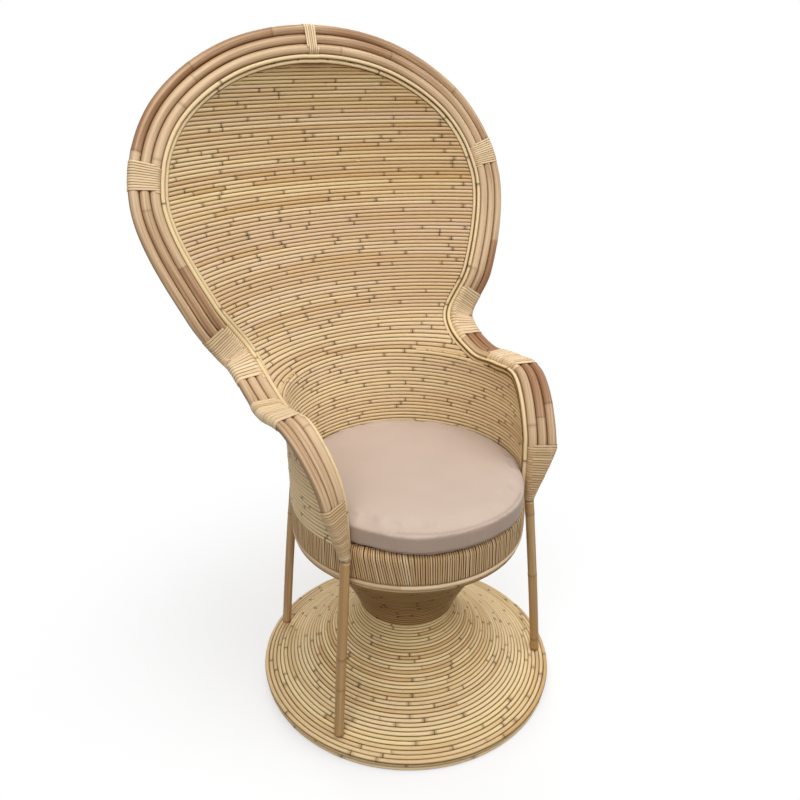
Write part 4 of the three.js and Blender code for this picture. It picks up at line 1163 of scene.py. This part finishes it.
class CHAIR_OT_bindings(bpy.types.Operator):
    """Wind the nine cane bindings that hold the rim's poles together"""

    bl_idname = "chair.bindings"
    bl_label = "Cane bindings"

    def execute(self, context):
        """A binding is one strip along a winding. Each turn has its own width, lift and tone."""
        s = context.scene.chair_sizes
        crown, upper, waist, arm, front = BOUND.values()
        # place, turns done at each station, stations, tone, and dust and painted shade between the turns
        plans = (
            ("crown", (0, 5), (-crown[1], crown[1]), 0.3, 0.7),
            ("upper", (0, 11), upper, 0.3, 0.8),
            ("waist", (0, 15, 16, 23), (waist[0], SPLICE, SPLICE + 0.06, waist[1]), 0.3, 0.65),
            ("arm", (0, 10), arm, 0.3, 0.12),
            ("front", (0, 22), front, 0.6, 0.75),
        )
        for place, turns, stations, tone, dust_and_shade in plans:
            for side, sign in (("", 1),) if place == "crown" else (("_left", -1), ("_right", 1)):
                rng = np.random.default_rng(len(place) * 7 + sign)
                path, out, half, turn = winding(s, turns, sign * np.array(stations))
                many = turn.max() + 1
                half = half * rng.uniform(0.92, 1.0, many)[turn]
                lift = rng.uniform(0, 0.0003, many)[turn]
                marks = no_marks((1, len(path)))
                marks["tone"] = (tone + 0.16 * rng.normal(size=many)[turn]).clip(0, 1)[None]
                stretched = half > 0.004  # the long turn over the splice, which has little dust and painted shade
                marks["dust_and_shade"] = np.where(stretched, 0.25, dust_and_shade)[None]
                flatness = np.full((1, len(path)), CANE / 2)
                path = (path + out * lift[:, None])[None]
                name = f"cane_{place}{side}"
                piece = lay_tubes(name, path, out[None], flatness, half[None], 12, "cane", marks, flat=True)
                set_piece(piece, f"binding_{place}{side}")
        return {"FINISHED"}


class CHAIR_OT_struts(bpy.types.Operator):
    """Set the two front and two rear struts between the seat and the base"""

    bl_idname = "chair.struts"
    bl_label = "Struts"

    def execute(self, context):
        """A strut is a straight line from the base to the rim or the seat, bowed by half a sine wave."""
        s = context.scene.chair_sizes
        half = s.strut / 2
        foot_radius = s.base_radius - 0.026
        # where the rear struts stand, how far a strut bows, and how far its ends keep off the base and the pole
        rear_angle, bow, foot_up, top_down = math.radians(44), 0.0025, 0.0012, 0.001
        for side, sign in (("left", -1), ("right", 1)):
            top = pole_path(s, 0, np.array([sign * STATIONS]))[0][0]
            rear = sign * rear_angle
            rear_top = s.seat_radius + s.reed / 2 + CLEARANCE + half
            # place, angle from the rear, upper end, blush and seed
            runs = (
                ("front", math.atan2(top[0], top[1]), top - (0, 0, top_down), 0.6, 101),
                ("rear", rear, ring_path(rear_top, s.deck, np.array([rear]))[0], 0.3, 103),
            )
            for place, turn, upper, blush, seed in runs:
                node = f"{place}_strut_{side}"
                foot = ring_path(foot_radius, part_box(node)[0].z + foot_up, np.array([turn]))[0]
                knots = {"joints": 3, "spacing": 0.18, "swell": 0.06, "girth": 0.006}
                layout = Layout(seed + (sign > 0), [np.linalg.norm(upper - foot)], step=0.006, **knots)
                share = layout.shares[0][:, None]
                out = ring_path(1.0, 0.0, np.array([turn]))[0]
                path = foot + (upper - foot) * share + out * bow * np.sin(math.pi * share) * np.sin(seed)
                aside = np.broadcast_to(out, path.shape)
                girth = layout.girth * half * (1.0 - 0.03 * layout.shares)
                # dust and painted shade on the strut's sides, at 0.3 of the rim poles' amount
                tone, dust_and_shade = 0.45 + 0.7 * layout.marks["tone"], 0.3 * layout.marks["dust_and_shade"]
                marks = dict(layout.marks, tone=tone, dust_and_shade=dust_and_shade, blush=np.full(layout.shares.shape, blush))
                piece = lay_tubes(f"strut_{place}_{side}", path[None], aside[None], girth, girth, 18, "pole", marks)
                set_piece(piece, node)
        return {"FINISHED"}


def cushion_shell(s, bottom):
    """Round boxed shell before filling: flat below, two quarter-round edges and a low crowned top, turned in 128
    steps. The points run from the middle of the bottom to the middle of the top."""
    sides, crowning = 128, 0.004
    radius, edge, top = s.cushion_radius, s.cushion_edge, bottom + s.cushion_height
    inside = radius - edge
    flat = np.linspace(0.012, inside, 14)
    quarter = np.linspace(0, math.pi / 2, 7)
    low = np.stack([flat, np.full(14, bottom)], 1)
    low_edge = np.stack([inside + edge * np.sin(quarter), bottom + edge - edge * np.cos(quarter)], 1)[1:]
    high_edge = np.stack([inside + edge * np.cos(quarter), top - edge + edge * np.sin(quarter)], 1)
    crown = np.stack([flat[::-1], top + crowning * (1 - (flat[::-1] / inside) ** 2)], 1)[1:]
    profile = np.vstack([low, low_edge, high_edge, crown])
    around = np.arange(sides)
    after = (around + 1) % sides
    angle = TURN * around / sides
    out, up = profile[:, :1], profile[:, 1:]
    rings = np.stack([out * np.cos(angle), out * np.sin(angle), up + 0 * angle], -1)
    points = np.vstack([rings.reshape(-1, 3), (0, 0, bottom), (0, 0, profile[-1, 1])])
    start = (np.arange(len(profile) - 1) * sides)[:, None]
    quads = np.stack([start + around, start + after, start + sides + after, start + sides + around], -1)
    last = (len(profile) - 1) * sides
    below = np.stack([np.full(sides, len(points) - 2), after, around], 1)
    above = np.stack([np.full(sides, len(points) - 1), last + around, last + after], 1)
    return points + (0, AXIS_Y, 0), quads.reshape(-1, 4).tolist() + below.tolist() + above.tolist()


def mesh_points(mesh):
    """Vertex places of a mesh as an array."""
    points = np.empty(len(mesh.vertices) * 3, np.float32)
    mesh.vertices.foreach_get("co", points)
    return points.reshape(-1, 3).astype(float)


def evaluated_mesh(piece):
    """A copy of the piece's mesh with its modifiers applied."""
    seen = piece.evaluated_get(bpy.context.evaluated_depsgraph_get())
    return bpy.data.meshes.new_from_object(seen)


class CHAIR_OT_cushion(bpy.types.Operator):
    """Sew the round cushion and fill it by simulating its cloth under pressure"""

    bl_idname = "chair.cushion"
    bl_label = "Cushion"

    def execute(self, context):
        """The shell is remeshed, filled, settled on the deck, smoothed and sewn."""
        s = context.scene.chair_sizes
        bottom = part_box("cushion")[0].z
        points, faces = cushion_shell(s, bottom)
        mesh = bpy.data.meshes.new("seat_cushion")
        mesh.from_pydata(points.tolist(), [], faces)
        piece = bpy.data.objects.new("seat_cushion", mesh)
        context.scene.collection.objects.link(piece)
        remesh = piece.modifiers.new("Even cloth", "REMESH")
        remesh.mode = "VOXEL"
        remesh.voxel_size = 0.0055
        piece.data = evaluated_mesh(piece)
        piece.modifiers.clear()
        self.fill(piece)
        self.settle(piece, bottom)
        smooth = piece.modifiers.new("Soft cloth", "SUBSURF")
        smooth.levels = smooth.render_levels = 1
        piece.data = evaluated_mesh(piece)
        piece.modifiers.clear()
        self.sew(piece, bottom)
        piece.data.polygons.foreach_set("use_smooth", np.ones(len(piece.data.polygons), bool))
        piece.data.materials.clear()
        piece.data.materials.append(finish_of("cloth"))
        set_piece(piece, "cushion", "cushion")
        return {"FINISHED"}

    def fill(self, piece):
        """Runs the cloth for 20 frames and keeps its shape, with each point moved by 9 mm at most."""
        frames, most = 20, 0.009
        start = mesh_points(piece.data)
        cloth = piece.modifiers.new("Filling", "CLOTH")
        cloth.settings.quality = 6
        cloth.settings.use_pressure = True
        cloth.settings.uniform_pressure_force = 4
        cloth.settings.tension_stiffness = 18
        cloth.settings.compression_stiffness = 18
        cloth.settings.bending_stiffness = 0.6
        cloth.settings.effector_weights.gravity = 0
        for step in range(1, frames + 1):
            bpy.context.scene.frame_set(step)
        end = mesh_points(evaluated_mesh(piece))
        piece.modifiers.clear()
        bpy.context.scene.frame_set(1)
        move = end - start
        far = np.linalg.norm(move, axis=1, keepdims=True)
        placed = start + move * np.minimum(1, most / np.maximum(far, 1e-9))
        piece.data.vertices.foreach_set("co", placed.astype(np.float32).ravel())
        piece.data.update()

    def settle(self, piece, bottom):
        """Presses the cushion flat on the deck, fills the tub without touching its reeds, and lets the cushion bulge by
        16 mm over the apron through the open front between the arms."""
        points = mesh_points(piece.data) - (0, AXIS_Y, 0)
        points[:, 2] = np.maximum(points[:, 2], bottom)
        radius = np.hypot(points[:, 0], points[:, 1])
        turn = np.abs(np.arctan2(points[:, 0], -points[:, 1]))
        free = eased((math.radians(62) - turn) / math.radians(40))
        most, squeeze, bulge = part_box("cushion")[1].x + 0.0008, 1.012, 0.068
        share = np.clip(radius * squeeze / radius.max(), 0, 1)
        points[:, :2] = unit(points[:, :2]) * (most * share * (1 + bulge * free * share**3))[:, None]
        piece.data.vertices.foreach_set("co", (points + (0, AXIS_Y, 0)).astype(np.float32).ravel())
        piece.data.update()

    def sew(self, piece, bottom):
        """Marks the seams: narrow rings on the band, just under the top edge and just over the bottom one."""
        points = mesh_points(piece.data) - (0, AXIS_Y, 0)
        radius = np.hypot(points[:, 0], points[:, 1])
        rise = points[:, 2] - bottom
        band, seam_half, places = 0.012, 0.0013, (0.74, 0.17)
        seam = sum(np.exp(-(((rise - rise.max() * place) / seam_half) ** 2)) for place in places)
        on_band = radius > radius.max() - band
        marks = piece.data.attributes.new("seam", "FLOAT", "POINT")
        marks.data.foreach_set("value", np.where(on_band, seam, 0).astype(np.float32))


def aim(thing, place, back, right):
    """Sets a lamp or camera in the scene, with its back and its right side turned the given ways."""
    turned = np.stack([right, np.cross(back, right), back], 1)
    thing.matrix_world = Matrix.Translation(place) @ Matrix(turned.tolist()).to_4x4()
    bpy.context.scene.collection.objects.link(thing)


class CHAIR_OT_stage(bpy.types.Operator):
    """Set the floor, the soft studio light and the camera at the photograph's place"""

    bl_idname = "chair.stage"
    bl_label = "Stage"

    def execute(self, context):
        scene = context.scene
        scene.view_settings.view_transform = "Standard"
        self.floor(scene)
        self.world(scene)
        self.lamps()
        self.camera(scene)
        return {"FINISHED"}

    def floor(self, scene):
        """A wide pale square that fades to white away from the chair. It throws little light back up."""
        mesh = bpy.data.meshes.new("studio_floor")
        mesh.from_pydata([(-9, -9, 0), (9, -9, 0), (9, 9, 0), (-9, 9, 0)], [], [(0, 1, 2, 3)])
        floor = bpy.data.objects.new("studio_floor", mesh)
        scene.collection.objects.link(floor)
        material, sheet, shader = new_finish("studio_floor", {"Roughness": 0.9, "Specular IOR Level": 0.0})
        shader.inputs["Base Color"].default_value = linear(scene.chair_colours.floor)
        place = sheet.node("ShaderNodeTexCoord", output="Object")
        far = sheet.node("ShaderNodeVectorMath", {"operation": "LENGTH"}, [place], "Value")
        white = sheet.node("ShaderNodeEmission", None, {"Color": (1, 1, 1, 1), "Strength": 1.0})
        share = 0.5 + sheet.ease(far, 0.32, 0.95) * 0.5
        pale = sheet.node("ShaderNodeMixShader", None, [share, Wire(sheet, shader.outputs[0]), white])
        dim = sheet.node("ShaderNodeBsdfDiffuse", None, {"Color": (0.3, 0.3, 0.3, 1)})
        mixed = sheet.node("ShaderNodeMixShader", None, [sheet.seen(), dim, pale])
        sheet.plug(material.node_tree.nodes["Material Output"], "Surface", mixed)
        mesh.materials.append(material)

    def world(self, scene):
        """White where the camera sees it, and an even soft light otherwise."""
        world = bpy.data.worlds.new("studio")
        scene.world = world
        world.use_nodes = True
        sheet = Sheet(world.node_tree)
        background = world.node_tree.nodes["Background"]
        background.inputs["Color"].default_value = (1, 1, 1, 1)
        sheet.plug(background, "Strength", 0.24 + sheet.seen() * 0.76)

    def lamps(self):
        """A wide soft light above the chair, and weaker ones before and behind it."""
        # name, place, what it points at, size and power
        for name, place, target, size, power in (
            ("sky", (1.2, -1.3, 3.7), (0, 0, 0.5), 4.0, 96),
            ("front", (-1.7, -1.6, 3.0), (0, 0, 0.2), 2.6, 63),
            ("rear", (0.9, 2.6, 2.2), (0, 0, 0.7), 2.6, 52),
        ):
            light = bpy.data.lights.new(name, "AREA")
            light.shape = "DISK"
            light.size = size
            light.energy = power
            back = unit(np.array(place) - np.array(target, float))
            aim(bpy.data.objects.new(name, light), place, back, unit(np.cross((0.0, 0.0, 1.0), back)))

    def camera(self, scene):
        """Looks at the chair from its front left, from above, with the photograph's lens."""
        data = bpy.data.cameras.new("photograph")
        data.sensor_width = 36
        data.lens = 35.26
        data.shift_x = 0.0178
        data.shift_y = -0.0051
        aside, down = math.radians(-29.75), math.radians(23.77)
        back = np.array([math.sin(aside) * math.cos(down), -math.cos(aside) * math.cos(down), math.sin(down)])
        right = np.array([math.cos(aside), math.sin(aside), 0.0])
        camera = bpy.data.objects.new("photograph", data)
        aim(camera, (-0.7535, -1.2249 + AXIS_Y, 1.3007), back, right)
        scene.camera = camera


OPERATORS = (
    CHAIR_OT_pedestal_reeds,
    CHAIR_OT_pedestal_frame,
    CHAIR_OT_apron,
    CHAIR_OT_seat_deck,
    CHAIR_OT_rim_poles,
    CHAIR_OT_edge_reeds,
    CHAIR_OT_reed_wall,
    CHAIR_OT_back_ribs,
    CHAIR_OT_bindings,
    CHAIR_OT_struts,
    CHAIR_OT_cushion,
    CHAIR_OT_stage,
)


class CHAIR_PT_sidebar(bpy.types.Panel):
    """Lists the chair's pieces in the 3D view's sidebar"""

    bl_idname = "CHAIR_PT_sidebar"
    bl_label = "Peacock chair"
    bl_space_type = "VIEW_3D"
    bl_region_type = "UI"
    bl_category = "Chair"

    def draw(self, context):
        for operator in OPERATORS:
            self.layout.operator(operator.bl_idname)
        for group in (context.scene.chair_sizes, context.scene.chair_colours):
            for key in group.__annotations__:
                self.layout.prop(group, key)


CLASSES = (ChairSizes, ChairColours, *OPERATORS, CHAIR_PT_sidebar)


def register():
    """Adds the classes and the chair's settings to Blender."""
    for item in CLASSES:
        bpy.utils.register_class(item)
    bpy.types.Scene.chair_sizes = bpy.props.PointerProperty(type=ChairSizes)
    bpy.types.Scene.chair_colours = bpy.props.PointerProperty(type=ChairColours)


def unregister():
    """Takes the settings and the classes away again."""
    del bpy.types.Scene.chair_colours
    del bpy.types.Scene.chair_sizes
    for item in reversed(CLASSES):
        bpy.utils.unregister_class(item)


def main():
    """Makes every piece in order."""
    register()
    for operator in OPERATORS:
        group, name = operator.bl_idname.split(".")
        getattr(getattr(bpy.ops, group), name)()


if __name__ == "__main__":
    main()
